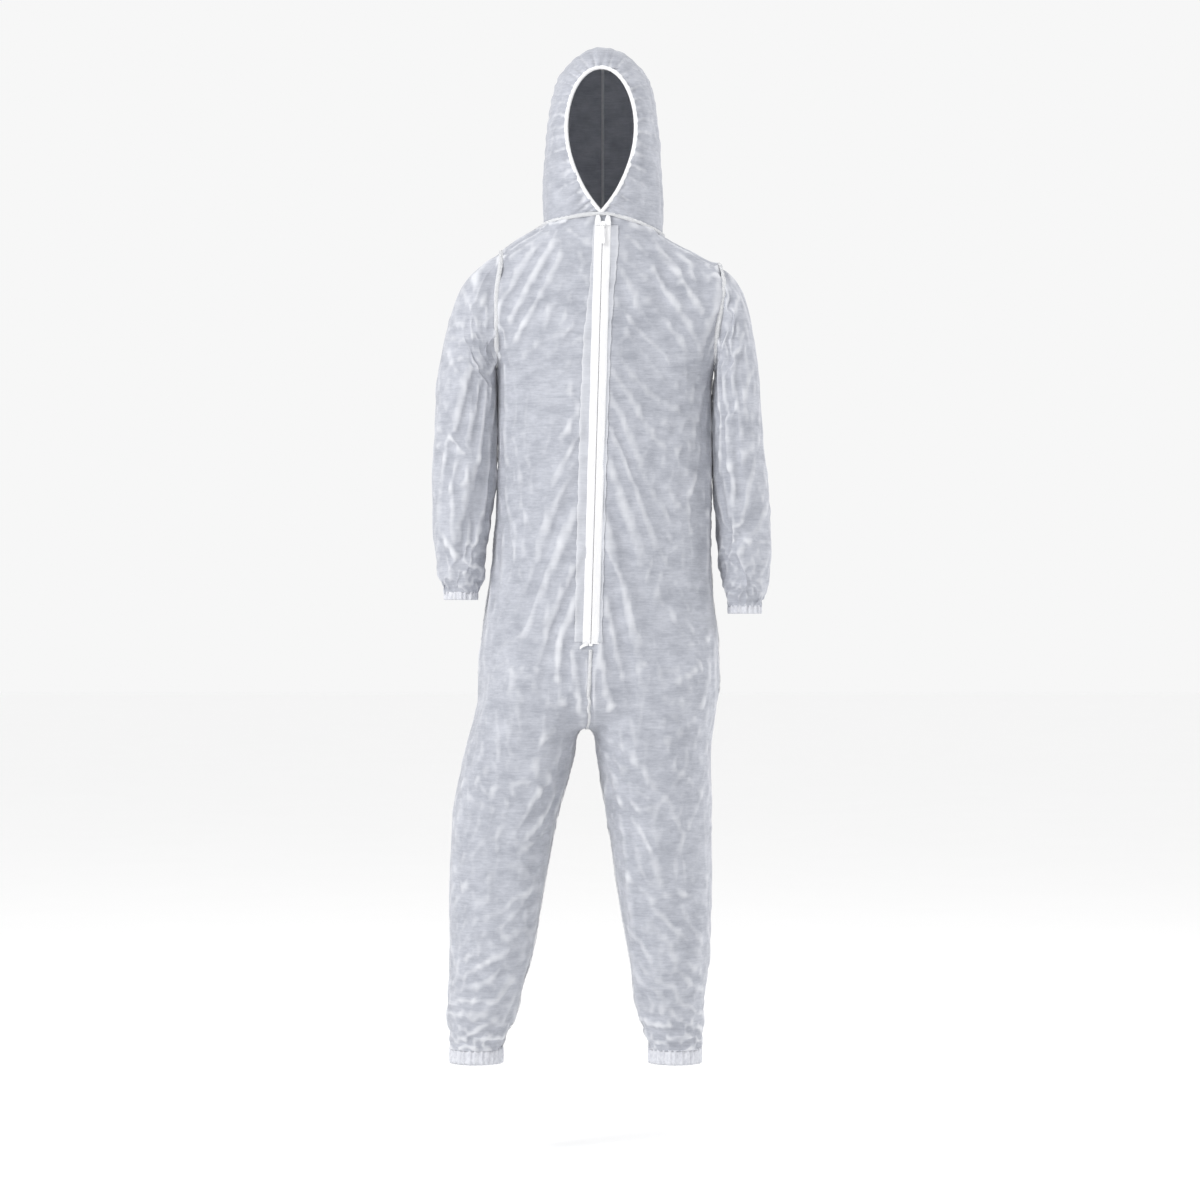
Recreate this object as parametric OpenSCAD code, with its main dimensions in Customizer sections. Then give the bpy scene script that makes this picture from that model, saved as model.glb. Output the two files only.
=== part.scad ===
// Hooded protective coverall of thin nonwoven cloth, in the shape it takes when it is worn.
// Millimetres, +Z up. The wearer faces -Y, so the wearer's right side is -X.
// The origin is the middle of the neck seam, where the suit hangs from its wearer.
// Every cloth wall is a thin closed shell with the openings of the real suit left open.

/* [Cloth] */
// Thickness of a cloth wall, which stands for gathered and folded cloth
cloth_t = 2.2; // [1.6:0.1:2.6]
// Thickness of a sewn seam that stands proud of the cloth
seam_t = 1.4; // [0.8:0.1:2]
// Width of a sewn seam
seam_w = 5; // [3:0.5:8]
// Clearance between two bodies at a joint
gap = 1.5; // [1:0.1:2.5]

/* [Body] */
// Drop from the neck seam to the lowest point of the crotch
crotch_drop = 830; // [800:1:850]
// Drop from the neck seam to the edge of the ankle hem
hem_drop = 1416; // [1390:1:1450]
// Distance from the zip line to the armpit on the wearer's right
chest_right = 168; // [160:1:170]
// Distance from the zip line to the armpit on the wearer's left
chest_left = 185; // [176:1:188]
// Distance from the zip line to the hip's side on the wearer's right
hip_right = 188; // [187:1:190]
// Distance from the zip line to the hip's side on the wearer's left
hip_left = 219; // [217:1:221]
// Depth of the back behind the neck's middle at the chest
back_d = 118; // [105:1:125]
// Depth of the seat behind the neck's middle
seat_d = 132; // [120:1:140]

/* [Zip] */
// Length of the zip
zip_len = 708; // [650:1:715]
// Sideways drift of the zip over its length
zip_lean = 20; // [0:1:30]
// Forward drift of the zip over its length
zip_rake = 30; // [10:1:40]
// Width of the two zip tapes together
zip_w = 27; // [22:0.5:30]

/* [Hood] */
// Height of the hood's crown above the neck seam
hood_h = 301; // [285:1:320]
// Greatest half width of the hood
hood_r = 101; // [96:1:104]
// Greatest half width of the face opening
face_r = 58; // [50:1:64]
// Lowest point of the face opening above the neck seam
face_low = 10; // [8:1:20]
// Highest point of the face opening above the neck seam
face_top = 257; // [235:1:265]
// How far the hood tilts back, in degrees
hood_tilt = 25; // [10:1:30]

/* [Sleeves] */
// Radius of the rounded sleeve head
sleeve_head_r = 60; // [56:1:62]
// Half width of the right sleeve at its elbow
elbow_right = 54; // [50:1:56]
// Half width of the left sleeve at its elbow
elbow_left = 46; // [44:1:48]
// Radius of the gathered cuff
cuff_r = 28; // [26:0.5:32]
// Height of the cuff's elastic casing
cuff_h = 12; // [10:1:16]
// How far the elbow bends, in degrees
elbow_bend = 60; // [30:1:60]

/* [Legs] */
// Half width of a leg at the knee
knee_w = 82; // [76:1:86]
// Radius of the gathered ankle
ankle_r = 45; // [42:0.5:50]
// Height of the ankle's elastic casing
ankle_h = 24; // [16:1:28]
// How far the hip bends, in degrees
hip_bend = 35; // [20:1:40]
// How far the knee bends, in degrees
knee_bend = 50; // [30:1:55]

/* [Hidden] */

cloth = "#dfe2ea";
seam_colour = "#f4f5f9";
zip_white = "#fbfbfd";
elastic_white = "#e8e8e8";

// Joint centres: shoulders, elbows, cuffs, hips, knees and ankle hems, right then left
SHOULDER = [[-200, 0, -114], [188, 0, -130]];
ELBOW = [[-235, 6, -372], [228, 6, -385]];
CUFF = [[-241, -20, -634], [237, -20, -657]];
hip_z = -800;
knee_z = -1107;
crotch_x = -29;
crotch_gap = 13;
HIP_SIDE = [-213, 194];
HIP = [for (s = [0, 1]) [(HIP_SIDE[s] + crotch_x + (2 * s - 1) * crotch_gap) / 2, 0, hip_z]];
KNEE = [[-179, 0, knee_z], [102, 0, knee_z]];
HEM = [[-216, 6, -hem_drop], [120, 6, -hem_drop]];

ROUND = 28;
// Corner fullness of a body section: 2 is an ellipse, more is squarer
fullness = 2.3;
// Half gap between two panels that meet at a seam
seam_gap = 0.4;

// ---------------------------------------------------------------- numbers between stations

function lerp(a, b, t) = a + (b - a) * t;

function slope(st, i, col) =
    let (a = max(i - 1, 0), b = min(i + 1, len(st) - 1))
    (st[b][col] - st[a][col]) / (st[b][0] - st[a][0]);

function hermite(st, i, z, col) =
    let (
        h = st[i + 1][0] - st[i][0],
        t = (z - st[i][0]) / h,
        m0 = slope(st, i, col) * h,
        m1 = slope(st, i + 1, col) * h
    )
    (2 * t ^ 3 - 3 * t ^ 2 + 1) * st[i][col] + (t ^ 3 - 2 * t ^ 2 + t) * m0
    + (3 * t ^ 2 - 2 * t ^ 3) * st[i + 1][col] + (t ^ 3 - t ^ 2) * m1;

// Column col of the stations st at height z, smooth from station to station, top first
function at(st, z, col, i = 0) =
    z >= st[0][0] ? st[0][col]
    : i + 1 >= len(st) ? st[len(st) - 1][col]
    : z >= st[i + 1][0] ? hermite(st, i, z, col)
    : at(st, z, col, i + 1);

function steps(a, b, n) = [for (i = [0:n]) lerp(a, b, i / n)];

function spow(v, e) = sign(v) * abs(v) ^ e;

// ---------------------------------------------------------------- shells from rows of points

// A closed wall between two grids of points. Rows run from top to bottom and columns
// anticlockwise seen from above; wrap joins the last column to the first.
module wall(outer, inner, wrap = false) {
    rows = len(outer);
    cols = len(outer[0]);
    count = rows * cols;
    last = wrap ? cols - 1 : cols - 2;
    function o(i, j) = i * cols + j % cols;
    function n(i, j) = count + o(i, j);
    function quad(a, b, c, d) = [[a, b, c], [a, c, d]];
    faces = concat(
        [for (i = [0:rows - 2], j = [0:last])
            each quad(o(i, j), o(i, j + 1), o(i + 1, j + 1), o(i + 1, j))],
        [for (i = [0:rows - 2], j = [0:last])
            each quad(n(i, j), n(i + 1, j), n(i + 1, j + 1), n(i, j + 1))],
        [for (j = [0:last]) each quad(o(0, j), n(0, j), n(0, j + 1), o(0, j + 1))],
        [for (j = [0:last])
            each quad(o(rows - 1, j), o(rows - 1, j + 1), n(rows - 1, j + 1), n(rows - 1, j))],
        wrap ? [] : [for (i = [0:rows - 2])
            each quad(n(i, 0), o(i, 0), o(i + 1, 0), n(i + 1, 0))],
        wrap ? [] : [for (i = [0:rows - 2])
            each quad(o(i, cols - 1), n(i, cols - 1), n(i + 1, cols - 1), o(i + 1, cols - 1))]
    );
    polyhedron([for (r = concat(outer, inner)) each r], faces, 4);
}

// Section i of a tube of radius r round a closed path, which lies near a plane with the given normal
function tube_ring(path, i, r, sides, normal) =
    let (
        n = len(path),
        across = path[(i + 1) % n] - path[(i + n - 1) % n],
        along = across / norm(across),
        side = cross(along, normal) / norm(cross(along, normal)),
        up = cross(side, along)
    )
    [for (k = [0:sides - 1])
        path[i] + r * (cos(360 * k / sides) * side + sin(360 * k / sides) * up)];

// ---------------------------------------------------------------- the body of the suit

// Zip line at height z: it is straight, so that the slider runs true
zip_top_y = -96;
function zip_x(z) = -2 + zip_lean * z / zip_len;
function zip_y(z) = zip_top_y + zip_rake * z / zip_len;

// Stations down the body: height, reach to the right, reach to the left, depth of the back
BODY = [
    [2, 97, 99, 80],
    [-34, 162, 121, 90],
    [-68, 214, 190, 102],
    [-110, 205, 205, 112],
    [-175, chest_right, chest_left, back_d],
    [-300, chest_right - 3, chest_left + 1, back_d],
    [-460, chest_right - 7, chest_left + 7, back_d - 8],
    [-600, hip_right - 16, hip_left - 19, lerp(back_d, seat_d, 0.5)],
    [-700, hip_right - 1, hip_left - 3, seat_d],
    [hip_z, hip_right, hip_left, seat_d]
];
neck_z = 2;

// A point of the body's surface at height z and angle u, moved out by off
function body_at(z, u, off) =
    let (
        reach = at(BODY, z, cos(u) < 0 ? 1 : 2) + off,
        depth = (sin(u) < 0 ? -zip_y(z) : at(BODY, z, 3)) + off
    )
    [zip_x(z) + reach * spow(cos(u), 2 / fullness), depth * spow(sin(u), 2 / fullness), z];

// The angle at which the front of the body is d to the left of the zip line
function front_angle(z, d) =
    270 + sign(d) * asin((abs(d) / at(BODY, z, d < 0 ? 1 : 2)) ^ (fullness / 2));

// The hips' hinge plane opens to the front, so the thigh can swing forward
function hip_edge(y) = hip_z + gap + max(0, -y) * tan(hip_bend / 2);

// A row of body points whose lowest rows end at the hinge plane of the hips
function body_row(z, us, off) =
    [for (u = us)
        let (p = body_at(z, u, off), low = hip_edge(p[1]))
        z > low ? p : body_at(low, u, off)];

BODY_ROWS = concat([2, -16, -34, -51, -68, -88, -110, -140, -175], steps(-220, -700, 8), [-735],
    steps(-750, hip_z, 2));

module shoulder_ball(side, extra) {
    translate(SHOULDER[side]) sphere(r = sleeve_head_r + extra, $fn = 48);
}

// Width of the armhole seam, from the sleeve head's clearance outwards
armhole_seam = 4;

// The body's rows from the hips upwards, the order its panels are built in
BODY_ROWS_UP = [for (i = [len(BODY_ROWS) - 1:-1:0]) BODY_ROWS[i]];

// A piece of the body between two angles, which may change with height
module body_panel(side, angles) {
    color(cloth) difference() {
        wall([for (z = BODY_ROWS_UP) body_row(z, angles(z), 0)],
            [for (z = BODY_ROWS_UP) body_row(z, angles(z), -cloth_t)]);
        shoulder_ball(side, gap / 2 + armhole_seam + 0.2);
    }
}

panel_cols = 10;
front_clear = zip_w / 2 + 0.6;
function side_gap(z, side) = seam_gap / at(BODY, z, side + 1) * 180 / PI;

module front_panel(side) {
    body_panel(side, side == 0
        ? function(z) steps(front_angle(z, -front_clear), 180 + side_gap(z, 0), panel_cols)
        : function(z) steps(360 - side_gap(z, 1), front_angle(z, front_clear), panel_cols));
}

module back_panel(side) {
    body_panel(side, side == 0
        ? function(z) steps(180 - side_gap(z, 0), 90 + side_gap(z, 0), panel_cols)
        : function(z) steps(90 - side_gap(z, 1), side_gap(z, 1), panel_cols));
}

// A sewn seam that lies on the body's surface along angle u between heights z0 and z1
module body_seam(z0, z1, u) {
    function half(z) = seam_w / 2 / at(BODY, z, u % 180 == 0 ? 3 : 1) * 180 / PI;
    function us(z) = steps(u - half(z), u + half(z), 2);
    zs = [for (z = BODY_ROWS) if (z <= z0 && z >= z1) z];
    color(seam_colour) wall([for (z = zs) [for (a = us(z)) body_at(z, a, 0.3 + seam_t)]],
        [for (z = zs) [for (a = us(z)) body_at(z, a, 0.3)]]);
}

SHOULDER_SEAM_END = [-45, -60];
module shoulder_seam(side) {
    body_seam(0, SHOULDER_SEAM_END[side], 180 * (1 - side));
}

SIDE_SEAM_TOP = [-186, -202];
module side_seam(side) {
    body_seam(SIDE_SEAM_TOP[side], hip_z + 10, 180 * (1 - side));
}

module centre_back_seam() {
    body_seam(-14, hip_z + 10, 90);
}

// The seam between the zip's end and the crotch
module front_seam() {
    body_seam(-zip_len - 10, hip_z + 44, 270);
}

// The rim of the body around the sleeve head
module armhole_seam(side) {
    us = [for (i = [0:ROUND - 1]) 360 * i / ROUND];
    zs = [-16, -51, -68, -88, -110, -140, -175, -200];
    color(seam_colour) intersection() {
        wall([for (z = zs) [for (u = us) body_at(z, u, 0)]],
            [for (z = zs) [for (u = us) body_at(z, u, -cloth_t)]], true);
        difference() {
            shoulder_ball(side, gap / 2 + armhole_seam);
            shoulder_ball(side, gap / 2);
        }
        translate([side == 0 ? -300 : 100, -150, -220]) cube([200, 300, 220]);
    }
}

// The band of cloth that joins front to back between the legs
crotch_w = 20;
module crotch_seam() {
    front = [zip_y(hip_z) + 4, hip_edge(zip_y(hip_z)) - 6];
    back = [seat_d - 4, hip_z + gap - 4];
    function mid(t) =
        let (
            y = lerp(front[0], back[0], (1 - cos(180 * t)) / 2),
            top = lerp(front[1], back[1], t)
        )
        [y, top - (crotch_drop + top) * sin(180 * t) ^ 0.8];
    function row(t, off) =
        let (m = mid(t), d = mid(min(t + 0.02, 1)) - mid(max(t - 0.02, 0)), n = [d[1], -d[0]] / norm(d))
        [for (x = [1, -1]) [crotch_x + x * crotch_w / 2, m[0] + off * n[0], m[1] + off * n[1]]];
    ts = steps(0, 1, 14);
    color(seam_colour) wall([for (t = ts) row(t, -cloth_t)], [for (t = ts) row(t, 0)]);
}

// ---------------------------------------------------------------- the zip

tape_t = 1;
coil_r = 1.3;
coil_space = 0.3;
zip_top_z = -4;
zip_end_z = -zip_len;
zip_dir = [zip_lean, zip_rake, zip_len] / norm([zip_lean, zip_rake, zip_len]);
zip_yaw = atan2(zip_lean, zip_len);
zip_pitch = atan2(zip_rake, zip_len);

// Places its children on the zip line, with +Z up the line and -Y away from the wearer
module on_zip(z) {
    translate([zip_x(z), zip_y(z), z]) rotate([-zip_pitch, zip_yaw, 0]) children();
}

line_len = norm([zip_lean, zip_rake, zip_len]) * (zip_top_z - zip_end_z) / zip_len;
tape_in = 2 * coil_r + coil_space / 2 + 0.2;

module zip_tape(side) {
    s = 2 * side - 1;
    tape_span = zip_w / 2 - tape_in;
    color(zip_white) on_zip(zip_end_z)
        translate([s > 0 ? tape_in : -tape_in - tape_span, -tape_t / 2, 0])
            cube([tape_span, tape_t, line_len]);
}

module zip_coil(side) {
    s = 2 * side - 1;
    color(zip_white) on_zip(zip_end_z) translate([s * (coil_r + coil_space / 2), 0, 2])
        cylinder(r = coil_r, h = line_len - 8, $fn = 24);
}

// The two ends of the tapes, folded over at the top of the zip
fold_size = [9, 3, 8];
module zip_top_folds() {
    color(zip_white) for (s = [-1, 1])
        on_zip(zip_top_z) translate([s * (zip_w / 4 + 1.2) - fold_size[0] / 2, -fold_size[1] / 2, 0.3])
            cube(fold_size);
}

module zip_bottom_stop() {
    color(zip_white) on_zip(zip_end_z)
        translate([-tape_in, -2, -2.5]) cube([2 * tape_in, 4, 4]);
}

// The slider straddles both coils from outside and carries the bail's pin
slider_size = [9, 4.4, 12];
slider_z = -16;
slider_clear = 0.35;
pin_r = 0.6;
pin_out = 7.2;
module zip_slider() {
    channel = 2 * (2 * coil_r + coil_space / 2 + slider_clear);
    face = tape_t / 2 + slider_clear;
    depth = coil_r + slider_clear + 1.1;
    color(zip_white) on_zip(slider_z) {
        difference() {
            translate([-slider_size[0] / 2, -depth, 0])
                cube([slider_size[0], depth - face, slider_size[2]]);
            translate([-channel / 2, -coil_r - slider_clear, -1])
                cube([channel, 10, slider_size[2] + 2]);
        }
        for (x = [-3.6, 2.4])
            translate([x, -pin_out - 1.2, 4]) cube([1.2, pin_out + 1.2 - depth, 4]);
        translate([-3, -pin_out, 6]) rotate([0, 90, 0]) cylinder(r = pin_r, h = 6, $fn = 24);
    }
}

// The pull hangs from the pin by its eye
pull_len = 26;
pull_w = 4;
eye_r = 1.9;
module zip_pull() {
    color(zip_white) on_zip(slider_z) translate([0, -pin_out, 6]) difference() {
        union() {
            translate([-pull_w / 2, 0, 0]) rotate([0, 90, 0]) cylinder(r = eye_r, h = pull_w, $fn = 32);
            translate([-pull_w / 2, -0.7, -pull_len]) cube([pull_w, 1.4, pull_len]);
            translate([-pull_w, -0.7, -pull_len - 6]) cube([2 * pull_w, 1.4, 9]);
        }
        translate([-pull_w, 0, 0]) rotate([0, 90, 0]) cylinder(r = pin_r + 0.35, h = 2 * pull_w, $fn = 24);
    }
}

// ---------------------------------------------------------------- the hood

// Stations down the hood: height, half width, depth of the front, depth of the back
HOOD = [
    [hood_h, 3, -8, 18],
    [hood_h - 5, 26, 16, 44],
    [hood_h - 22, 52, 42, 72],
    [hood_h - 56, 78, 70, 98],
    [hood_h - 124, 93, 90, 120],
    [100, 99, 96, 118],
    [42, hood_r, 97, 100],
    [neck_z, hood_r, 96, 84]
];
hood_x = -2;

function hood_at(z, u, off) =
    let (
        w = max(0.6, at(HOOD, z, 1) + off),
        f = at(HOOD, z, 2),
        b = at(HOOD, z, 3),
        mid = (b - f) / 2,
        d = max(0.6, (f + b) / 2 + off)
    )
    [hood_x + w * spow(cos(u), 2 / 2.15), mid + d * spow(sin(u), 2 / 2.15), z];

// The hood's lower edge opens to the back, so the hood can tilt back
function hood_edge(y) = neck_z + 2 * gap + max(0, y) * 2 * tan(hood_tilt / 2);

function hood_row(z, us, off) =
    [for (u = us)
        let (p = hood_at(z, u, off), low = hood_edge(p[1]))
        z > low ? p : hood_at(low, u, off)];

HOOD_ROWS = concat([hood_h, hood_h - 5, hood_h - 12, hood_h - 22, hood_h - 38],
    steps(hood_h - 56, 42, 8), [24, neck_z + 2 * gap]);

face_x = -5;
face_wide_z = lerp(face_low, face_top, 0.6);

// Half width of the face opening at height z: round above its widest point, a V below it
function face_half(z) =
    z > face_wide_z
        ? face_r * sqrt(max(0, 1 - ((z - face_wide_z) / (face_top - face_wide_z)) ^ 2))
        : face_r * sin(90 * (z - face_low) / (face_wide_z - face_low)) ^ 0.9;

// Outline of the face opening, anticlockwise in the plane of X and Z
face_steps = 12;
function face_turn(i) =
    let (a = 90 * i / face_steps)
    [lerp(face_low, face_wide_z, 1 - cos(a)), lerp(face_wide_z, face_top, sin(a))];
FACE = concat(
    [for (i = [0:face_steps - 1]) let (z = face_turn(i)[0]) [face_x + face_half(z), z]],
    [for (i = [0:face_steps]) let (z = face_turn(i)[1]) [face_x + face_half(z), z]],
    [for (i = [face_steps - 1:-1:0]) let (z = face_turn(i)[1]) [face_x - face_half(z), z]],
    [for (i = [face_steps - 1:-1:1]) let (z = face_turn(i)[0]) [face_x - face_half(z), z]]
);

hem_r = 3.6;
module face_cut() {
    rotate([90, 0, 0]) linear_extrude(height = 160) offset(r = hem_r + 0.4, $fn = 16) polygon(FACE);
}

crown_gap = 0.5;
module hood_panel(side) {
    us = side == 0 ? steps(90, 270, 14) : steps(-90, 90, 14);
    color(cloth) difference() {
        wall([for (z = HOOD_ROWS) hood_row(z, us, 0)], [for (z = HOOD_ROWS) hood_row(z, us, -cloth_t)]);
        face_cut();
        translate([hood_x - (side == 0 ? 0 : crown_gap) - (side == 0 ? crown_gap : 60), -200, -20])
            cube([60 + crown_gap, 400, 400]);
    }
}

// The seam over the crown, from the face opening back and down to the neck
module hood_crown_seam() {
    over_face = [for (i = [4:-1:0]) hood_at(HOOD_ROWS[i], 270, 0)];
    down_back = [for (i = [0:12]) hood_at(HOOD_ROWS[i], 90, 0)];
    path = concat(over_face, down_back);
    function lift(i) =
        let (d = path[min(i + 1, len(path) - 1)] - path[max(i - 1, 0)], n = [0, -d[2], d[1]] / norm(d))
        n;
    function row(i, off) = [for (x = [-1, 1]) path[i] + [x * seam_w / 2, 0, 0] + off * lift(i)];
    is = [0:len(path) - 1];
    color(seam_colour) wall([for (i = is) row(i, 0.3 + seam_t)], [for (i = is) row(i, 0.3)]);
}

// The rolled hem around the face, a casing with its elastic inside
function on_hood(x, z) =
    let (
        w = at(HOOD, z, 1),
        f = at(HOOD, z, 2),
        b = at(HOOD, z, 3),
        c = min(1, abs(x - hood_x) / w)
    )
    [x, (b - f) / 2 - (f + b) / 2 * (1 - c ^ 2.15) ^ (1 / 2.15) + cloth_t / 2, z];
FACE_PATH = [for (p = FACE) on_hood(p[0], p[1])];

function face_rings(r) = [for (i = [0:len(FACE_PATH) - 1])
    tube_ring(FACE_PATH, i, r, 8, [0, 1, 0])];

// A closed ring of a tube, solid or hollow
module ring_tube(rings) {
    rows = len(rings);
    cols = len(rings[0]);
    function id(i, j) = (i % rows) * cols + j % cols;
    faces = [for (i = [0:rows - 1], j = [0:cols - 1])
        each [[id(i, j), id(i, j + 1), id(i + 1, j + 1)], [id(i, j), id(i + 1, j + 1), id(i + 1, j)]]];
    polyhedron([for (r = rings) each r], faces, 4);
}

elastic_r = 1.4;
elastic_clear = 0.9;

// The casing's section is a rolled strip: it runs round the elastic and stops short of itself
module hood_face_hem() {
    turns = steps(20, 340, 7);
    function rolled(i) =
        let (
            n = len(FACE_PATH),
            along = FACE_PATH[(i + 1) % n] - FACE_PATH[(i + n - 1) % n],
            out = cross(along, [0, -1, 0]) / norm(cross(along, [0, -1, 0])),
            front = cross(out, along) / norm(along)
        )
        concat(
            [for (t = turns) FACE_PATH[i] + hem_r * (cos(t) * out + sin(t) * front)],
            [for (k = [7:-1:0]) let (t = turns[k])
                FACE_PATH[i] + (elastic_r + elastic_clear) * (cos(t) * out + sin(t) * front)]
        );
    color(seam_colour) ring_tube([for (i = [0:len(FACE_PATH) - 1]) rolled(i)]);
}

module hood_elastic() {
    color(elastic_white) ring_tube(face_rings(elastic_r));
}

// ---------------------------------------------------------------- sleeves and legs

// A limb is a stack of level rings. A station holds height, middle x, middle y,
// half width and half depth.
function limb_at(st, z, u, off) =
    [at(st, z, 1) + (at(st, z, 3) + off) * cos(u), at(st, z, 2) + (at(st, z, 4) + off) * sin(u), z];

RING = [for (i = [0:ROUND - 1]) 360 * i / ROUND];

// Height of a hinge plane through centre c at a point y, with its opening towards dir.
// way is 1 above the hinge and -1 below it.
function hinge_edge(c, y, dir, bend, way) =
    c[2] + way * (gap + max(0, dir * (y - c[1])) * tan(bend / 2));

// The ball inside a joint's wall: the ring at elevation el, which follows the hinge plane
function ball_ring(c, r, el) =
    [for (u = RING) c + r * [cos(u) * cos(el(u)), sin(u) * cos(el(u)), sin(el(u))]];

// Elevation at which the ball meets the hinge plane below it
function lip(u, dir, bend) = -atan(tan(bend / 2) * max(0, dir * sin(u)));

// How far above its centre the ball reaches, and how many rings it has
ball_top = 42;
ball_rows = 4;

// A limb below a joint: the ball at its top, then the tube down to z1.
// It ends at the next joint's hinge plane when one is given.
module limb(st, c, r, dir, bend, zs, next = []) {
    function edge(z, p) =
        let (
            high = hinge_edge(c, p[1], dir, bend, -1),
            low = len(next) == 0 ? -1e5 : hinge_edge(next[0], p[1], next[1], next[2], 1)
        )
        max(min(z, high), low);
    function tube_row(z, off) =
        [for (u = RING) let (p = limb_at(st, z, u, off)) limb_at(st, edge(z, p), u, off)];
    function ball_rows_of(rr) = [for (i = [0:ball_rows])
        ball_ring(c, rr, function(u) lerp(ball_top, lip(u, dir, bend) - asin(gap / rr), i / ball_rows))];
    color(cloth) wall(
        concat(ball_rows_of(r), [for (z = zs) tube_row(z, 0)]),
        concat(ball_rows_of(r - cloth_t), [for (z = zs) tube_row(z, -cloth_t)]),
        true
    );
}

// Stations of the two sleeves: shoulder, upper arm, elbow, forearm and cuff
function sleeve_stations(s) =
    let (e = s == 0 ? elbow_right : elbow_left, a = SHOULDER[s], b = ELBOW[s], c = CUFF[s])
    [
        [a[2] - 62, lerp(a[0], b[0], 0.94), 1, e - 6, 48],
        [a[2] - 110, lerp(a[0], b[0], 0.96), 2, e - 2, 58],
        [b[2], b[0], b[1], e, 58],
        [lerp(b[2], c[2], 0.5), lerp(b[0], c[0], 0.4) + (s ? 2 : -3), -6, 47, 52],
        [lerp(b[2], c[2], 0.82), lerp(b[0], c[0], 0.75) + (s ? 1 : -1), -16, 41, 43],
        [c[2] + cuff_h, c[0], c[1], cuff_r - 0.6, cuff_r - 0.6]
    ];

// The sleeve head is a ball; its underside slides into the tube of the upper arm
function head_row(s, el, r) =
    [for (u = RING) SHOULDER[s] + r * [cos(u) * cos(el), sin(u) * cos(el), sin(el)]];

armhole_r = 42;
module sleeve_upper(side) {
    st = sleeve_stations(side);
    s = 2 * side - 1;
    c = ELBOW[side];
    zs = concat(steps(st[0][0], st[1][0], 2), steps(st[1][0] - 30, c[2], 5));
    function row(z, off) =
        [for (u = RING)
            let (p = limb_at(st, z, u, off), low = hinge_edge(c, p[1], -1, elbow_bend, 1))
            limb_at(st, max(z, low), u, off)];
    els = [84, 66, 48, 30, 12, -6, -22];
    difference() {
        color(cloth) wall(
            concat([for (el = els) head_row(side, el, sleeve_head_r)], [for (z = zs) row(z, 0)]),
            concat([for (el = els) head_row(side, el, sleeve_head_r - cloth_t)],
                [for (z = zs) row(z, -cloth_t)]),
            true
        );
        translate(SHOULDER[side] - s * [15, 0, 0]) rotate([0, -s * 90, 0])
            cylinder(r = armhole_r, h = 70, $fn = 48);
    }
}

module sleeve_lower(side) {
    st = sleeve_stations(side);
    c = ELBOW[side];
    zs = concat([c[2]], steps(c[2] - 40, CUFF[side][2] + cuff_h + 0.4, 8));
    r = (side == 0 ? elbow_right : elbow_left) - cloth_t - 1;
    limb(st, c, min(r, 50), -1, elbow_bend, zs);
}

// An elastic casing is a flat hollow band; the elastic runs inside it
casing_t = 5;
casing_wall = 0.9;
module casing(c, r, h) {
    color(seam_colour) translate(c) rotate_extrude($fn = 64) difference() {
        translate([r - casing_t, 0]) square([casing_t, h - 0.2]);
        translate([r - casing_t + casing_wall, casing_wall])
            square([casing_t - 2 * casing_wall, h - 0.2 - 2 * casing_wall]);
    }
}

module elastic_band(c, r, h) {
    inset = casing_wall + 0.3;
    color(elastic_white) translate(c) rotate_extrude($fn = 64)
        translate([r - casing_t + inset, inset])
            square([casing_t - 2 * inset, h - 0.2 - 2 * inset]);
}

// Stations of the two legs: hip, thigh, knee, shin and ankle
function leg_stations(s) =
    let (a = HIP[s], b = KNEE[s], c = HEM[s], top = (2 * s - 1) * (HIP_SIDE[s] - crotch_x) / 2 - crotch_gap / 2)
    [
        [a[2], a[0], 2, top, 120],
        [a[2] - 80, lerp(a[0], b[0], s ? -0.1 : 0.3), 2, lerp(top, 92, 0.7), 112],
        [lerp(a[2], b[2], 0.6), lerp(a[0], b[0], s ? 0.4 : 0.72), 2, 90, 101],
        [b[2], b[0], b[1], knee_w, 88],
        [lerp(b[2], c[2], 0.4), lerp(b[0], c[0], s ? 0.5 : 0.36), 4, 70, 82],
        [lerp(b[2], c[2], 0.68), lerp(b[0], c[0], 0.7), 6, 58, 68],
        [c[2] + ankle_h, c[0], c[1], ankle_r - 0.6, ankle_r - 0.6]
    ];

hip_ball_r = 81;
knee_ball_r = 76;

module leg_upper(side) {
    st = leg_stations(side);
    zs = concat([hip_z], steps(hip_z - 60, knee_z, 6));
    limb(st, HIP[side], hip_ball_r, -1, hip_bend, zs, [KNEE[side], 1, knee_bend]);
}

module leg_lower(side) {
    st = leg_stations(side);
    zs = concat([knee_z], steps(knee_z - 50, HEM[side][2] + ankle_h + 0.4, 7));
    limb(st, KNEE[side], knee_ball_r, 1, knee_bend, zs);
}

// The seam down the inside of a leg, on its surface between two heights
module inseam(side, z0, z1) {
    st = leg_stations(side);
    u = side == 0 ? 0 : 180;
    function us(z) = let (h = seam_w / 2 / at(st, z, 4) * 57) [u - h, u, u + h];
    zs = steps(z0, z1, 8);
    color(seam_colour) wall([for (z = zs) [for (a = us(z)) limb_at(st, z, a, 0.3 + seam_t)]],
        [for (z = zs) [for (a = us(z)) limb_at(st, z, a, 0.3)]]);
}

// ---------------------------------------------------------------- what is drawn

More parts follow.
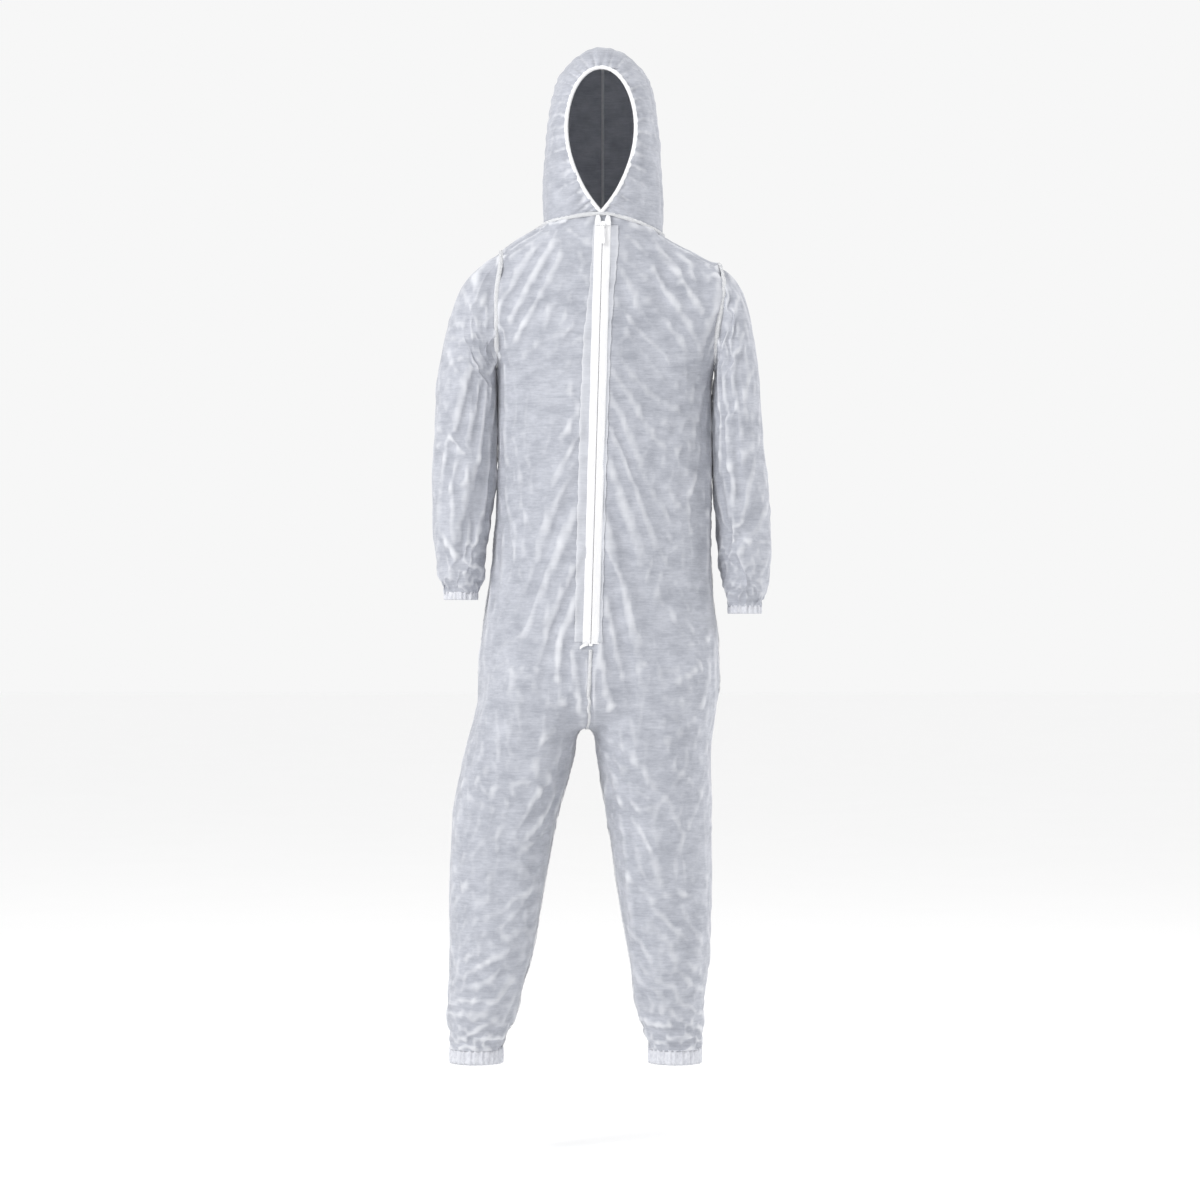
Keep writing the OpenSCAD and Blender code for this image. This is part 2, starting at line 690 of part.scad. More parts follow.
front_panel(0);  // front_panel_right
front_panel(1);  // front_panel_left
back_panel(0);  // back_panel_right
back_panel(1);  // back_panel_left
shoulder_seam(0);  // shoulder_seam_right
shoulder_seam(1);  // shoulder_seam_left
side_seam(0);  // side_seam_right
side_seam(1);  // side_seam_left
armhole_seam(0);  // armhole_seam_right
armhole_seam(1);  // armhole_seam_left
centre_back_seam();
front_seam();
crotch_seam();
zip_tape(0);  // zip_tape_right
zip_tape(1);  // zip_tape_left
zip_coil(0);  // zip_coil_right
zip_coil(1);  // zip_coil_left
zip_top_folds();
zip_bottom_stop();
zip_slider();
zip_pull();
hood_panel(0);  // hood_panel_right
hood_panel(1);  // hood_panel_left
hood_crown_seam();
hood_face_hem();
hood_elastic();
sleeve_upper(0);  // sleeve_upper_right
sleeve_upper(1);  // sleeve_upper_left
sleeve_lower(0);  // sleeve_lower_right
sleeve_lower(1);  // sleeve_lower_left
casing(CUFF[0], cuff_r, cuff_h);  // wrist_hem_right
casing(CUFF[1], cuff_r, cuff_h);  // wrist_hem_left
elastic_band(CUFF[0], cuff_r, cuff_h);  // wrist_elastic_right
elastic_band(CUFF[1], cuff_r, cuff_h);  // wrist_elastic_left
leg_upper(0);  // leg_upper_right
leg_upper(1);  // leg_upper_left
leg_lower(0);  // leg_lower_right
leg_lower(1);  // leg_lower_left
casing(HEM[0], ankle_r, ankle_h);  // ankle_hem_right
casing(HEM[1], ankle_r, ankle_h);  // ankle_hem_left
elastic_band(HEM[0], ankle_r, ankle_h);  // ankle_elastic_right
elastic_band(HEM[1], ankle_r, ankle_h);  // ankle_elastic_left
inseam(0, hip_z - 12, knee_z + 6);  // thigh_inseam_right
inseam(1, hip_z - 12, knee_z + 6);  // thigh_inseam_left
inseam(0, knee_z - 6, -hem_drop + ankle_h + 4);  // shin_inseam_right
inseam(1, knee_z - 6, -hem_drop + ankle_h + 4);  // shin_inseam_left
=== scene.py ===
from math import cos, pi, radians, sin

import bmesh
import bpy
import numpy as np
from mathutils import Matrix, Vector, noise
from mathutils.bvhtree import BVHTree


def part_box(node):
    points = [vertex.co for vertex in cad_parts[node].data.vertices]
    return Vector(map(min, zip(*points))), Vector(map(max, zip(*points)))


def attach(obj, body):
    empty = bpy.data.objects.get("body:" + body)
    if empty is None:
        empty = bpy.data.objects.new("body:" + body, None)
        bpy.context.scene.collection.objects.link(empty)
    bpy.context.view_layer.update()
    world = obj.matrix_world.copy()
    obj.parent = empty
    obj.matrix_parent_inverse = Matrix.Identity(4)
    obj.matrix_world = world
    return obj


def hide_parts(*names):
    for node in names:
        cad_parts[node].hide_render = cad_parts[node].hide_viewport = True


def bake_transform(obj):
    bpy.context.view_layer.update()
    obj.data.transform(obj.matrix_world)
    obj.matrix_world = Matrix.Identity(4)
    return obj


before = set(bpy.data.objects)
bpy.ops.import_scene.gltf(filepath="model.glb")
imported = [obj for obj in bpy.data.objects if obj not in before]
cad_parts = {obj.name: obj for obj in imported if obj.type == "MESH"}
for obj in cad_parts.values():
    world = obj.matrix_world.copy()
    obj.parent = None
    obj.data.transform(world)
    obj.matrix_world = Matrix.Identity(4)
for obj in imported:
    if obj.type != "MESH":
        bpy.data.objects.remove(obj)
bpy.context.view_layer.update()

MM = 0.001
RIGHT, LEFT = 0, 1
SIDES = ("right", "left")
rng = np.random.default_rng(7)


# ---------------------------------------------------------------- stations and lofts


def stations(rows):
    """A smooth function of height from rows of (height, values...) in mm, top first."""
    table = np.array(rows, float)[::-1] * MM
    heights = table[:, 0]
    values = table[:, 1:]
    before = np.clip(np.arange(len(heights)) - 1, 0, None)
    after = np.clip(np.arange(len(heights)) + 1, None, len(heights) - 1)
    slopes = (values[after] - values[before]) / (heights[after] - heights[before])[:, None]

    def value(z):
        z = np.clip(z, heights[0], heights[-1])
        i = np.clip(np.searchsorted(heights, z) - 1, 0, len(heights) - 2)
        step = heights[i + 1] - heights[i]
        t = (z - heights[i]) / step
        start, end = slopes[i] * step, slopes[i + 1] * step
        return (
            (2 * t**3 - 3 * t**2 + 1) * values[i]
            + (t**3 - 2 * t**2 + t) * start
            + (3 * t**2 - 2 * t**3) * values[i + 1]
            + (t**3 - t**2) * end
        )

    return value


def spow(v, e):
    return np.sign(v) * np.abs(v) ** e


# Zip line of the suit: straight, from the neck seam down
ZIP_TOP = np.array([-2, -96, -4]) * MM
ZIP_END = np.array([-22, -126, -708]) * MM
ZIP_WAY = (ZIP_END - ZIP_TOP) / np.linalg.norm(ZIP_END - ZIP_TOP)


def zip_x(z):
    return (-2 + 20 * z / 0.708) * MM


def zip_y(z):
    return (-96 + 30 * z / 0.708) * MM


# Body: height, right side, left side, depth of the back. The sides bulge into the sleeve heads.
BODY = stations(
    [
        (40, -96, 92, 78),
        (2, -99, 97, 80),
        (-34, -160, 130, 90),
        (-62, -206, 180, 101),
        (-90, -222, 212, 108),
        (-130, -226, 226, 114),
        (-185, -222, 226, 118),
        (-222, -196, 206, 118),
        (-250, -178, 180, 118),
        (-300, -177, 178, 118),
        (-460, -177, 180, 110),
        (-600, -191, 183, 125),
        (-700, -209, 195, 132),
        (-800, -213, 194, 132),
        (-822, -196, 176, 118),
        (-838, -150, 110, 80),
    ]
)
FULLNESS = 2.3


def body_ring(z, columns=96):
    right, left, back = BODY(z)
    front = -zip_y(z)
    low = max(0.0, -0.8 - z) / 0.038
    front *= 1 - 0.35 * min(1, low)
    u = np.linspace(0, 2 * pi, columns, endpoint=False)
    centre = zip_x(z)
    reach = np.where(np.cos(u) < 0, centre - right, left - centre)
    depth = np.where(np.sin(u) < 0, front, back)
    x = centre + reach * spow(np.cos(u), 2 / FULLNESS)
    y = depth * spow(np.sin(u), 2 / FULLNESS)
    return np.column_stack([x, y, np.full(columns, z)])


# Legs: height, middle in x, middle in y, half width, half depth
LEGS = (
    stations(
        [
            (-740, -122, 2, 84, 128),
            (-800, -127, 2, 86, 127),
            (-880, -142, 2, 92, 116),
            (-984, -165, 2, 91, 101),
            (-1107, -179, 0, 83, 90),
            (-1230, -191, 2, 71, 82),
            (-1317, -205, 5, 60, 70),
            (-1372, -215, 6, 50, 54),
            (-1392, -216, 6, 45, 45),
            (-1440, -216, 6, 44, 44),
        ]
    ),
    stations(
        [
            (-740, 88, 2, 102, 128),
            (-800, 86, 2, 106, 127),
            (-880, 86, 2, 98, 116),
            (-984, 93, 2, 91, 101),
            (-1107, 102, 0, 82, 90),
            (-1230, 110, 2, 70, 82),
            (-1317, 111, 5, 58, 70),
            (-1372, 120, 6, 49, 54),
            (-1392, 120, 6, 45, 45),
            (-1440, 120, 6, 44, 44),
        ]
    ),
)


def leg_ring(side, z, columns=72):
    x, y, width, depth = LEGS[side](z)
    u = np.linspace(0, 2 * pi, columns, endpoint=False)
    return np.column_stack(
        [
            x + width * spow(np.cos(u), 2 / 2.15),
            y + depth * spow(np.sin(u), 2 / 2.15),
            np.full(columns, z),
        ]
    )


def tube_faces(rows, columns, first=0, wrap=True):
    """Quads of a grid of points, row by row."""
    i, j = np.meshgrid(np.arange(rows - 1), np.arange(columns if wrap else columns - 1), indexing="ij")
    k = (j + 1) % columns
    quads = np.stack([i * columns + j, (i + 1) * columns + j, (i + 1) * columns + k, i * columns + k], -1)
    return (quads.reshape(-1, 4) + first).tolist()


def closed_loft(rings):
    """Points and faces of a tube with both ends closed."""
    columns = len(rings[0])
    points = np.concatenate(rings)
    faces = tube_faces(len(rings), columns)
    faces.append(list(range(columns)))
    faces.append(list(range(len(points) - 1, len(points) - 1 - columns, -1)))
    return points, faces


def make_object(name, points, faces, smooth=True):
    mesh = bpy.data.meshes.new(name)
    mesh.from_pydata([tuple(map(float, p)) for p in points], [], [list(map(int, f)) for f in faces])
    mesh.validate()
    if smooth:
        mesh.polygons.foreach_set("use_smooth", [True] * len(mesh.polygons))
    obj = bpy.data.objects.new(name, mesh)
    bpy.context.scene.collection.objects.link(obj)
    return obj


def applied(obj):
    """The object's mesh with its modifiers, as points and faces. The object is removed."""
    bpy.context.view_layer.update()
    shown = obj.evaluated_get(bpy.context.evaluated_depsgraph_get())
    mesh = shown.to_mesh()
    points = np.array([v.co[:] for v in mesh.vertices])
    faces = [list(p.vertices) for p in mesh.polygons]
    shown.to_mesh_clear()
    remove(obj)
    return points, faces


def remove(obj):
    mesh = obj.data
    bpy.data.objects.remove(obj)
    bpy.data.meshes.remove(mesh)


def edges_of(faces):
    pairs = set()
    for f in faces:
        for a, b in zip(f, f[1:] + f[:1]):
            pairs.add((min(a, b), max(a, b)))
    return np.array(sorted(pairs))


def relax(values, edges, times, factor=0.5, hold=None):
    """Moves each point's value towards the mean of its neighbours."""
    count = np.bincount(edges.ravel(), minlength=len(values)).astype(float)[:, None]
    values = values.copy()
    for _ in range(times):
        total = np.zeros_like(values)
        np.add.at(total, edges[:, 0], values[edges[:, 1]])
        np.add.at(total, edges[:, 1], values[edges[:, 0]])
        moved = values + factor * (total / np.maximum(count, 1) - values)
        values = moved if hold is None else np.where(hold[:, None], values, moved)
    return values


def normals_of(points, faces):
    """Outward normal at each point, weighted by the area of its faces."""
    normal = np.zeros_like(points)
    for size in (3, 4):
        group = np.array([f for f in faces if len(f) == size])
        if len(group):
            p = points[group]
            n = np.cross(p[:, 2] - p[:, 0], p[:, (3 if size == 4 else 1)] - p[:, 1 if size == 4 else 0])
            for k in range(size):
                np.add.at(normal, group[:, k], n)
    return normal / np.maximum(np.linalg.norm(normal, axis=1), 1e-12)[:, None]


# ---------------------------------------------------------------- trunk: body and legs in one cloth

NECK_Z = 0.002
NECK_RISE = 0.007
NECK_DROP = (0.012, 0.028)
NECK_REACH = 0.035
ARM_X = (-0.180, 0.186)
ARM_BOW = ((0.008, -0.062, 0.035), (0.015, -0.112, 0.055))
ARM_BOW_REACH = 0.035
ARM_LOW = -0.29
ANKLE_TOP = -1.392
VOXEL = 0.0085
CRINKLE = 0.0022


def cut(mesh, point, normal, keep=lambda face: False, among=lambda face: True):
    """Cuts the faces among() by a plane and clears those on its normal's side that aren't kept."""
    chosen = [f for f in mesh.faces if among(f)]
    geometry = list({v for f in chosen for v in f.verts} | {e for f in chosen for e in f.edges}) + chosen
    bmesh.ops.bisect_plane(mesh, geom=geometry, plane_co=point, plane_no=normal, dist=1e-5)
    normal = Vector(normal)
    gone = [
        f
        for f in mesh.faces
        if among(f) and not keep(f) and (f.calc_center_median() - Vector(point)).dot(normal) > 0
    ]
    bmesh.ops.delete(mesh, geom=gone, context="FACES")


def shaped(points):
    """Lets the neck seam rise in the middle and sink at the sides, and bows the armhole seams."""
    points = np.array(points, float)
    x, z = points[:, 0], points[:, 2]
    across = np.clip(np.abs(x + 0.004) / 0.1, 0, 1) ** 1.5
    dip = NECK_RISE - np.where(x < 0, NECK_DROP[RIGHT], NECK_DROP[LEFT]) * across
    lowered = dip * np.exp(-(((z - NECK_Z) / NECK_REACH) ** 2))
    bowed = np.zeros(len(points))
    for side in (RIGHT, LEFT):
        size, height, reach = ARM_BOW[side]
        near = np.exp(-(((x - ARM_X[side]) / ARM_BOW_REACH) ** 2))
        bowed += size * near * np.exp(-(((z - height) / reach) ** 2))
    points[:, 0] += bowed
    points[:, 2] += lowered
    return points


def make_trunk():
    parts = [closed_loft([body_ring(z) for z in np.linspace(0.04, -0.838, 100)])]
    for side in (RIGHT, LEFT):
        parts.append(closed_loft([leg_ring(side, z) for z in np.linspace(-0.74, -1.44, 80)]))
    points, faces = [], []
    for p, f in parts:
        first = sum(len(q) for q in points)
        points.append(p)
        faces += [[first + i for i in face] for face in f]
    obj = make_object("trunk", np.concatenate(points), faces)
    remesh = obj.modifiers.new("remesh", "REMESH")
    remesh.mode = "VOXEL"
    remesh.voxel_size = VOXEL
    points, faces = applied(obj)
    points = relax(points, edges_of(faces), 6)
    obj = make_object("trunk", points, faces)
    mesh = bmesh.new()
    mesh.from_mesh(obj.data)
    bmesh.ops.recalc_face_normals(mesh, faces=mesh.faces)
    cut(mesh, (0, 0, NECK_Z), (0, 0, 1), among=lambda f: f.calc_center_median().z > -0.03)
    cut(mesh, (0, 0, ANKLE_TOP), (0, 0, -1), among=lambda f: f.calc_center_median().z < -1.35)
    for side, way in ((RIGHT, -1), (LEFT, 1)):
        cut(
            mesh,
            (ARM_X[side], 0, 0),
            (way, 0, 0),
            among=lambda f: f.calc_center_median().z > ARM_LOW and f.calc_center_median().x * way > 0.15,
        )
    loose = [v for v in mesh.verts if not v.link_faces]
    bmesh.ops.delete(mesh, geom=loose, context="VERTS")
    bmesh.ops.remove_doubles(mesh, verts=mesh.verts, dist=0.0009)
    mesh.to_mesh(obj.data)
    mesh.free()
    points, faces = applied(obj)
    return shaped(points), faces


# ---------------------------------------------------------------- sleeves

# Sleeve rings in mm: inner point (x, z), outer point (x, z), middle in y, half depth
SLEEVES = (
    [
        ((-180, -236), (-180, -47), 4, 66),
        ((-181, -240), (-208, -64), 0, 67),
        ((-180, -246), (-235, -92), -4, 67),
        ((-179, -257), (-256, -134), -7, 65),
        ((-178, -275), (-270, -178), -9, 62),
        ((-177.5, -300), (-280, -228), -10, 60),
        ((-177.5, -334), (-286, -290), -10, 58),
        ((-178, -377), (-290, -365), -8, 58),
        ((-181, -430), (-292, -430), -8, 57),
        ((-191, -500), (-291, -500), -5, 54),
        ((-198, -560), (-285, -560), -12, 47),
        ((-204, -598), (-280, -598), -18, 40),
        ((-213, -622), (-269, -622), -20, 28),
    ],
    [
        ((186, -248), (186, -57), 4, 66),
        ((186, -252), (210, -76), 0, 67),
        ((184, -258), (230, -102), -4, 67),
        ((181.5, -268), (247, -145), -7, 65),
        ((180, -285), (257, -190), -9, 62),
        ((179, -308), (263, -240), -10, 60),
        ((178.5, -343), (268, -305), -10, 58),
        ((179, -388), (273, -382), -8, 58),
        ((181, -445), (279, -445), -8, 57),
        ((187, -520), (282, -520), -5, 54),
        ((193, -578), (282, -578), -12, 47),
        ((201, -621), (276, -621), -18, 40),
        ((209, -645), (265, -645), -20, 28),
    ],
)
SLEEVE_ROWS = 92
SLEEVE_COLUMNS = 60


def armhole_ring(side, u):
    """Where the armhole's plane cuts the body."""
    zs = np.linspace(-0.03, -0.27, 200)
    right, left, back = np.array([BODY(z) for z in zs]).T
    centre = zip_x(zs)
    reach = (centre - right) if side == RIGHT else (left - centre)
    far = np.abs(ARM_X[side] - centre)
    share = np.clip(1 - (far / reach) ** FULLNESS, 0, None) ** (1 / FULLNESS)
    inside = share > 0
    top, low = zs[inside][0], zs[inside][-1]
    z = (top + low) / 2 + (top - low) / 2 * np.cos(u)
    open_share = np.interp(-z, -zs, share)
    depth = np.where(np.sin(u) < 0, -zip_y(z), np.interp(-z, -zs, back))
    return np.column_stack([np.full(len(u), ARM_X[side]), np.sign(np.sin(u)) * depth * open_share, z])


def make_sleeve(side):
    rows = np.array([[*a, *b, y, d] for a, b, y, d in SLEEVES[side]], float) * MM
    middle = (rows[:, 0:2] + rows[:, 2:4]) / 2
    along = np.concatenate([[0], np.cumsum(np.linalg.norm(np.diff(middle, axis=0), axis=1))])
    ts = np.linspace(0, along[-1], SLEEVE_ROWS)
    slopes = np.gradient(rows, along, axis=0)
    i = np.clip(np.searchsorted(along, ts) - 1, 0, len(along) - 2)
    step = (along[i + 1] - along[i])[:, None]
    t = (ts - along[i])[:, None] / step
    values = (
        (2 * t**3 - 3 * t**2 + 1) * rows[i]
        + (t**3 - 2 * t**2 + t) * slopes[i] * step
        + (3 * t**2 - 2 * t**3) * rows[i + 1]
        + (t**3 - t**2) * slopes[i + 1] * step
    )
    u = np.linspace(0, 2 * pi, SLEEVE_COLUMNS, endpoint=False)
    start = armhole_ring(side, u)
    rings = []
    for k, value in enumerate(values):
        ring = rings_base(value, u)
        share = max(0.0, 1 - ts[k] / 0.09)
        share = share * share * (3 - 2 * share)
        rings.append(ring * (1 - share) + (start + (ring - rings_base(values[0], u))) * share)
    points = shaped(np.concatenate(rings))
    faces = tube_faces(SLEEVE_ROWS, SLEEVE_COLUMNS)
    if side == RIGHT:
        faces = [f[::-1] for f in faces]
    return points, faces


def rings_base(value, u):
    ix, iz, ox, oz, y, d = value
    c = (1 - np.cos(u)) / 2
    return np.column_stack([ox + (ix - ox) * c, y + d * spow(np.sin(u), 0.95), oz + (iz - oz) * c])


# ---------------------------------------------------------------- hood

HOOD = stations(
    [
        (301, 3, -8, 18),
        (296, 26, 16, 44),
        (279, 52, 42, 72),
        (245, 78, 70, 98),
        (177, 93, 90, 120),
        (100, 99, 96, 118),
        (42, 101, 97, 100),
        (2, 101, 96, 84),
    ]
)
HOOD_X = -0.002
HOOD_FULLNESS = 2.15
FACE_X = -0.005
FACE_LOW = 0.004
FACE_TOP = 0.257
FACE_R = 0.058
FACE_WIDE = FACE_LOW + 0.6 * (FACE_TOP - FACE_LOW)


def face_half(z):
    """Half width of the face opening at height z."""
    up = FACE_R * np.sqrt(np.clip(1 - ((z - FACE_WIDE) / (FACE_TOP - FACE_WIDE)) ** 2, 0, None))
    turn = np.clip((z - FACE_LOW) / (FACE_WIDE - FACE_LOW), 0, 1)
    low = FACE_R * np.sin(pi / 2 * turn) ** 0.9
    inside = (z >= FACE_LOW) & (z <= FACE_TOP)
    return np.where(inside, np.where(z > FACE_WIDE, up, low), 0)


def hood_row(z, columns):
    """Points of the hood at height z, from the face opening's right edge round the back to its left."""
    width, front, back = HOOD(z)
    half = float(face_half(np.array(z)))
    middle, depth = (back - front) / 2, (front + back) / 2
    edges = []
    for way in (-1, 1):
        x = FACE_X + way * half - HOOD_X if half > 0 else 0.0
        share = min(1.0, abs(x) / width)
        angle = np.arcsin(share ** (HOOD_FULLNESS / 2))
        edges.append(np.sign(x) * angle)
    start = 1.5 * pi + edges[0]
    end = 1.5 * pi + edges[1] - 2 * pi
    u = np.linspace(start, end, columns)
    x = HOOD_X + width * spow(np.cos(u), 2 / HOOD_FULLNESS)
    y = middle + depth * spow(np.sin(u), 2 / HOOD_FULLNESS)
    return np.column_stack([x, y, np.full(columns, z)])


HOOD_COLUMNS = 121


def make_hood():
    below = np.linspace(NECK_Z, FACE_LOW, 3)[:-1]
    turn = np.linspace(0, pi, 84)
    opening = FACE_LOW + (FACE_TOP - FACE_LOW) * (1 - np.cos(turn)) / 2
    above = FACE_TOP + (0.301 - FACE_TOP) * np.sin(np.linspace(0, pi / 2, 18))[1:]
    heights = np.concatenate([below, opening, above])
    rows = [hood_row(z, HOOD_COLUMNS) for z in heights]
    points = np.concatenate(rows)
    faces = [f[::-1] for f in tube_faces(len(rows), HOOD_COLUMNS, wrap=False)]
    mesh = bmesh.new()
    verts = [mesh.verts.new(p) for p in points]
    for f in faces:
        try:
            mesh.faces.new([verts[i] for i in f])
        except ValueError:
            pass
    bmesh.ops.remove_doubles(mesh, verts=mesh.verts, dist=0.0004)
    bmesh.ops.dissolve_degenerate(mesh, edges=mesh.edges, dist=0.0001)
    mesh.verts.index_update()
    out = bpy.data.meshes.new("hood")
    mesh.to_mesh(out)
    mesh.free()
    points = np.array([v.co[:] for v in out.vertices])
    faces = [list(p.vertices) for p in out.polygons]
    bpy.data.meshes.remove(out)
    return shaped(points), faces


# ---------------------------------------------------------------- folds


# Where a fold is drawn from: the axis across the view, the axis along it, and its sign
VIEWS = {"front": (0, 1, -1), "back": (0, 1, 1), "right": (1, 0, -1), "left": (1, 0, 1)}


def crease(points, normals, line, width, height, view="front"):
    """A ridge of the cloth along a line of (across, up) points in mm, as seen in one of the views."""
    across, axis, sign = VIEWS[view]
    line = np.array(line, float) * MM
    flat = points[:, [across, 2]]
    nearest = np.full(len(points), 1e9)
    along = np.zeros(len(points))
    gone = 0.0
    for a, b in zip(line, line[1:]):
        span = b - a
        length = np.linalg.norm(span)
        t = np.clip((flat - a) @ span / length**2, 0, 1)
        away = np.linalg.norm(flat - a - t[:, None] * span, axis=1)
        closer = away < nearest
        nearest[closer] = away[closer]
        along[closer] = gone + t[closer] * length
        gone += length
    taper = np.clip(np.sin(pi * np.clip(along / gone, 0.02, 0.98)), 0, 1) ** 0.6
    near = nearest / (width * MM)
    profile = np.exp(-(near**2)) - 0.45 * np.exp(-((near - 1.9) ** 2))
    facing = np.clip(sign * normals[:, axis] * 3, 0, 1)
    return (height * MM * taper * profile * facing)[:, None] * normals


# Folds that run over the front: points (x, z), width and height, all in mm
BODY_FOLDS = [
    ([(-62, -6), (-104, -70), (-146, -146), (-176, -214)], 7, 3.8),
    ([(-40, -16), (-86, -90), (-138, -176), (-170, -262)], 6, 3.0),
    ([(-78, -10), (-124, -52), (-168, -112)], 6, 2.6),
    ([(-30, -60), (-60, -150), (-92, -230)], 6, 2.2),
    ([(58, -10), (104, -66), (152, -132), (182, -196)], 7, 3.8),
    ([(40, -24), (88, -96), (140, -172), (172, -250)], 6, 3.0),
    ([(76, -20), (130, -60), (180, -96)], 6, 2.6),
    ([(36, -110), (90, -150), (150, -236)], 6, 2.2),
    ([(-30, -70), (-36, -260), (-44, -470), (-42, -680)], 5, 2.6),
    ([(-46, -140), (-54, -340), (-58, -560), (-52, -810)], 5, 3.4),
    ([(-66, -300), (-72, -480), (-76, -640), (-80, -830)], 6, 3.0),
    ([(-92, -380), (-98, -520), (-94, -700)], 6, 2.2),
    ([(22, -70), (16, -260), (10, -460), (2, -690)], 4, 2.2),
    ([(46, -260), (40, -420), (34, -600)], 6, 1.9),
    ([(26, -240), (80, -290), (150, -330)], 7, 2.2),
    ([(60, -350), (120, -380), (174, -372)], 7, 2.2),
    ([(84, -420), (126, -470), (176, -486)], 7, 2.2),
    ([(-176, -330), (-140, -372), (-96, -440)], 7, 2.2),
    ([(-172, -440), (-134, -480), (-100, -560)], 7, 2.2),
    ([(-30, -822), (-74, -764), (-140, -730)], 6, 2.6),
    ([(-30, -822), (-66, -800), (-120, -800)], 6, 2.2),
    ([(-28, -822), (20, -762), (90, -726)], 6, 2.6),
    ([(-28, -822), (24, -806), (80, -800)], 6, 2.2),
    ([(-24, -715), (-26, -770), (-29, -822)], 4, 1.9),
]
LEG_FOLDS = [
    ([(-60, -850), (-104, -930), (-170, -1040)], 7, 2.2),
    ([(-44, -840), (-74, -960), (-96, -1060)], 6, 2.0),
    ([(-2, -850), (28, -960), (42, -1080), (56, -1220)], 6, 2.6),
    ([(20, -846), (84, -930), (150, -1010)], 7, 2.0),
]


def scattered(count, zone, slope, length, width, height):
    """Short random folds in a zone (x low, x high, z low, z high), slanting by slope, all in mm."""
    folds = []
    for _ in range(count):
        x, z = rng.uniform(zone[0], zone[1]), rng.uniform(zone[2], zone[3])
        angle = radians(rng.normal(*slope))
        reach = rng.uniform(*length)
        bend = rng.normal(0, 0.10) * reach
        way = np.array([sin(angle), -cos(angle)])
        side = np.array([way[1], -way[0]])
        middle = np.array([x, z])
        line = [middle + way * reach * t + side * bend * (1 - 4 * t * t) for t in np.linspace(-0.5, 0.5, 5)]
        folds.append((line, rng.uniform(*width), rng.uniform(*height)))
    return folds


# Zones of random folds: how many, zone, slant from the vertical in degrees (middle, spread), length, width, height
FRONT_ZONES = [
    (16, (-170, -40, -260, -40), (-38, 14), (60, 150), (3.0, 5.5), (0.8, 2.2)),
    (16, (40, 175, -260, -50), (38, 14), (60, 150), (3.0, 5.5), (0.8, 2.2)),
    (18, (-170, -30, -680, -280), (6, 16), (70, 210), (3.0, 6.0), (0.8, 2.0)),
    (16, (30, 170, -680, -280), (-14, 30), (60, 170), (3.0, 6.0), (0.8, 2.0)),
    (10, (-180, -30, -830, -680), (48, 16), (50, 120), (3.0, 5.5), (0.8, 2.0)),
    (10, (-20, 170, -830, -680), (-48, 16), (50, 120), (3.0, 5.5), (0.8, 2.0)),
    (20, (-240, -70, -1040, -840), (-26, 22), (60, 170), (3.0, 6.0), (0.8, 2.2)),
    (20, (10, 170, -1040, -840), (26, 22), (60, 170), (3.0, 6.0), (0.8, 2.2)),
    (15, (-250, -110, -1220, -1040), (-58, 16), (70, 150), (4.0, 7.0), (0.9, 2.0)),
    (15, (20, 170, -1220, -1040), (58, 16), (70, 150), (4.0, 7.0), (0.9, 2.0)),
    (13, (-250, -150, -1365, -1220), (-52, 18), (45, 110), (3.5, 6.0), (0.9, 2.2)),
    (13, (60, 160, -1365, -1220), (52, 18), (45, 110), (3.5, 6.0), (0.9, 2.2)),
]
BACK_ZONES = [
    (26, (-170, 170, -300, -60), (0, 45), (60, 180), (4.0, 7.0), (1.0, 2.6)),
    (30, (-170, 170, -680, -300), (0, 30), (70, 220), (4.0, 7.0), (1.0, 2.6)),
    (16, (-190, 180, -860, -680), (0, 60), (60, 150), (4.0, 7.0), (1.0, 2.6)),
    (30, (-250, -60, -1370, -860), (-30, 45), (50, 150), (4.0, 7.0), (1.0, 2.8)),
    (30, (0, 170, -1370, -860), (30, 45), (50, 150), (4.0, 7.0), (1.0, 2.8)),
]
SLEEVE_ZONES = [
    (12, (-280, -190, -340, -90), (28, 16), (60, 150), (3.5, 6.0), (0.8, 1.8)),
    (12, (-285, -190, -620, -340), (4, 28), (50, 150), (3.5, 6.0), (0.8, 1.8)),
    (12, (195, 262, -350, -100), (-28, 16), (60, 150), (3.5, 6.0), (0.8, 1.6)),
    (12, (190, 275, -640, -350), (-4, 28), (50, 150), (3.5, 6.0), (0.8, 1.6)),
]


SIDE_ZONES = [
    (18, (-70, 70, -330, -70), (0, 28), (60, 150), (4.0, 6.5), (0.9, 2.2)),
    (22, (-70, 70, -640, -330), (0, 30), (60, 160), (4.0, 6.5), (0.9, 2.2)),
    (14, (-110, 110, -860, -640), (0, 40), (60, 160), (4.5, 7.0), (0.9, 2.4)),
    (26, (-90, 90, -1365, -860), (20, 40), (60, 160), (4.5, 7.0), (0.9, 2.4)),
]
HOOD_SIDE_ZONES = [(9, (-70, 90, 20, 240), (0, 25), (60, 140), (5.0, 8.0), (0.9, 2.0))]


def zone_folds(zones):
    return [fold for zone in zones for fold in scattered(*zone)]


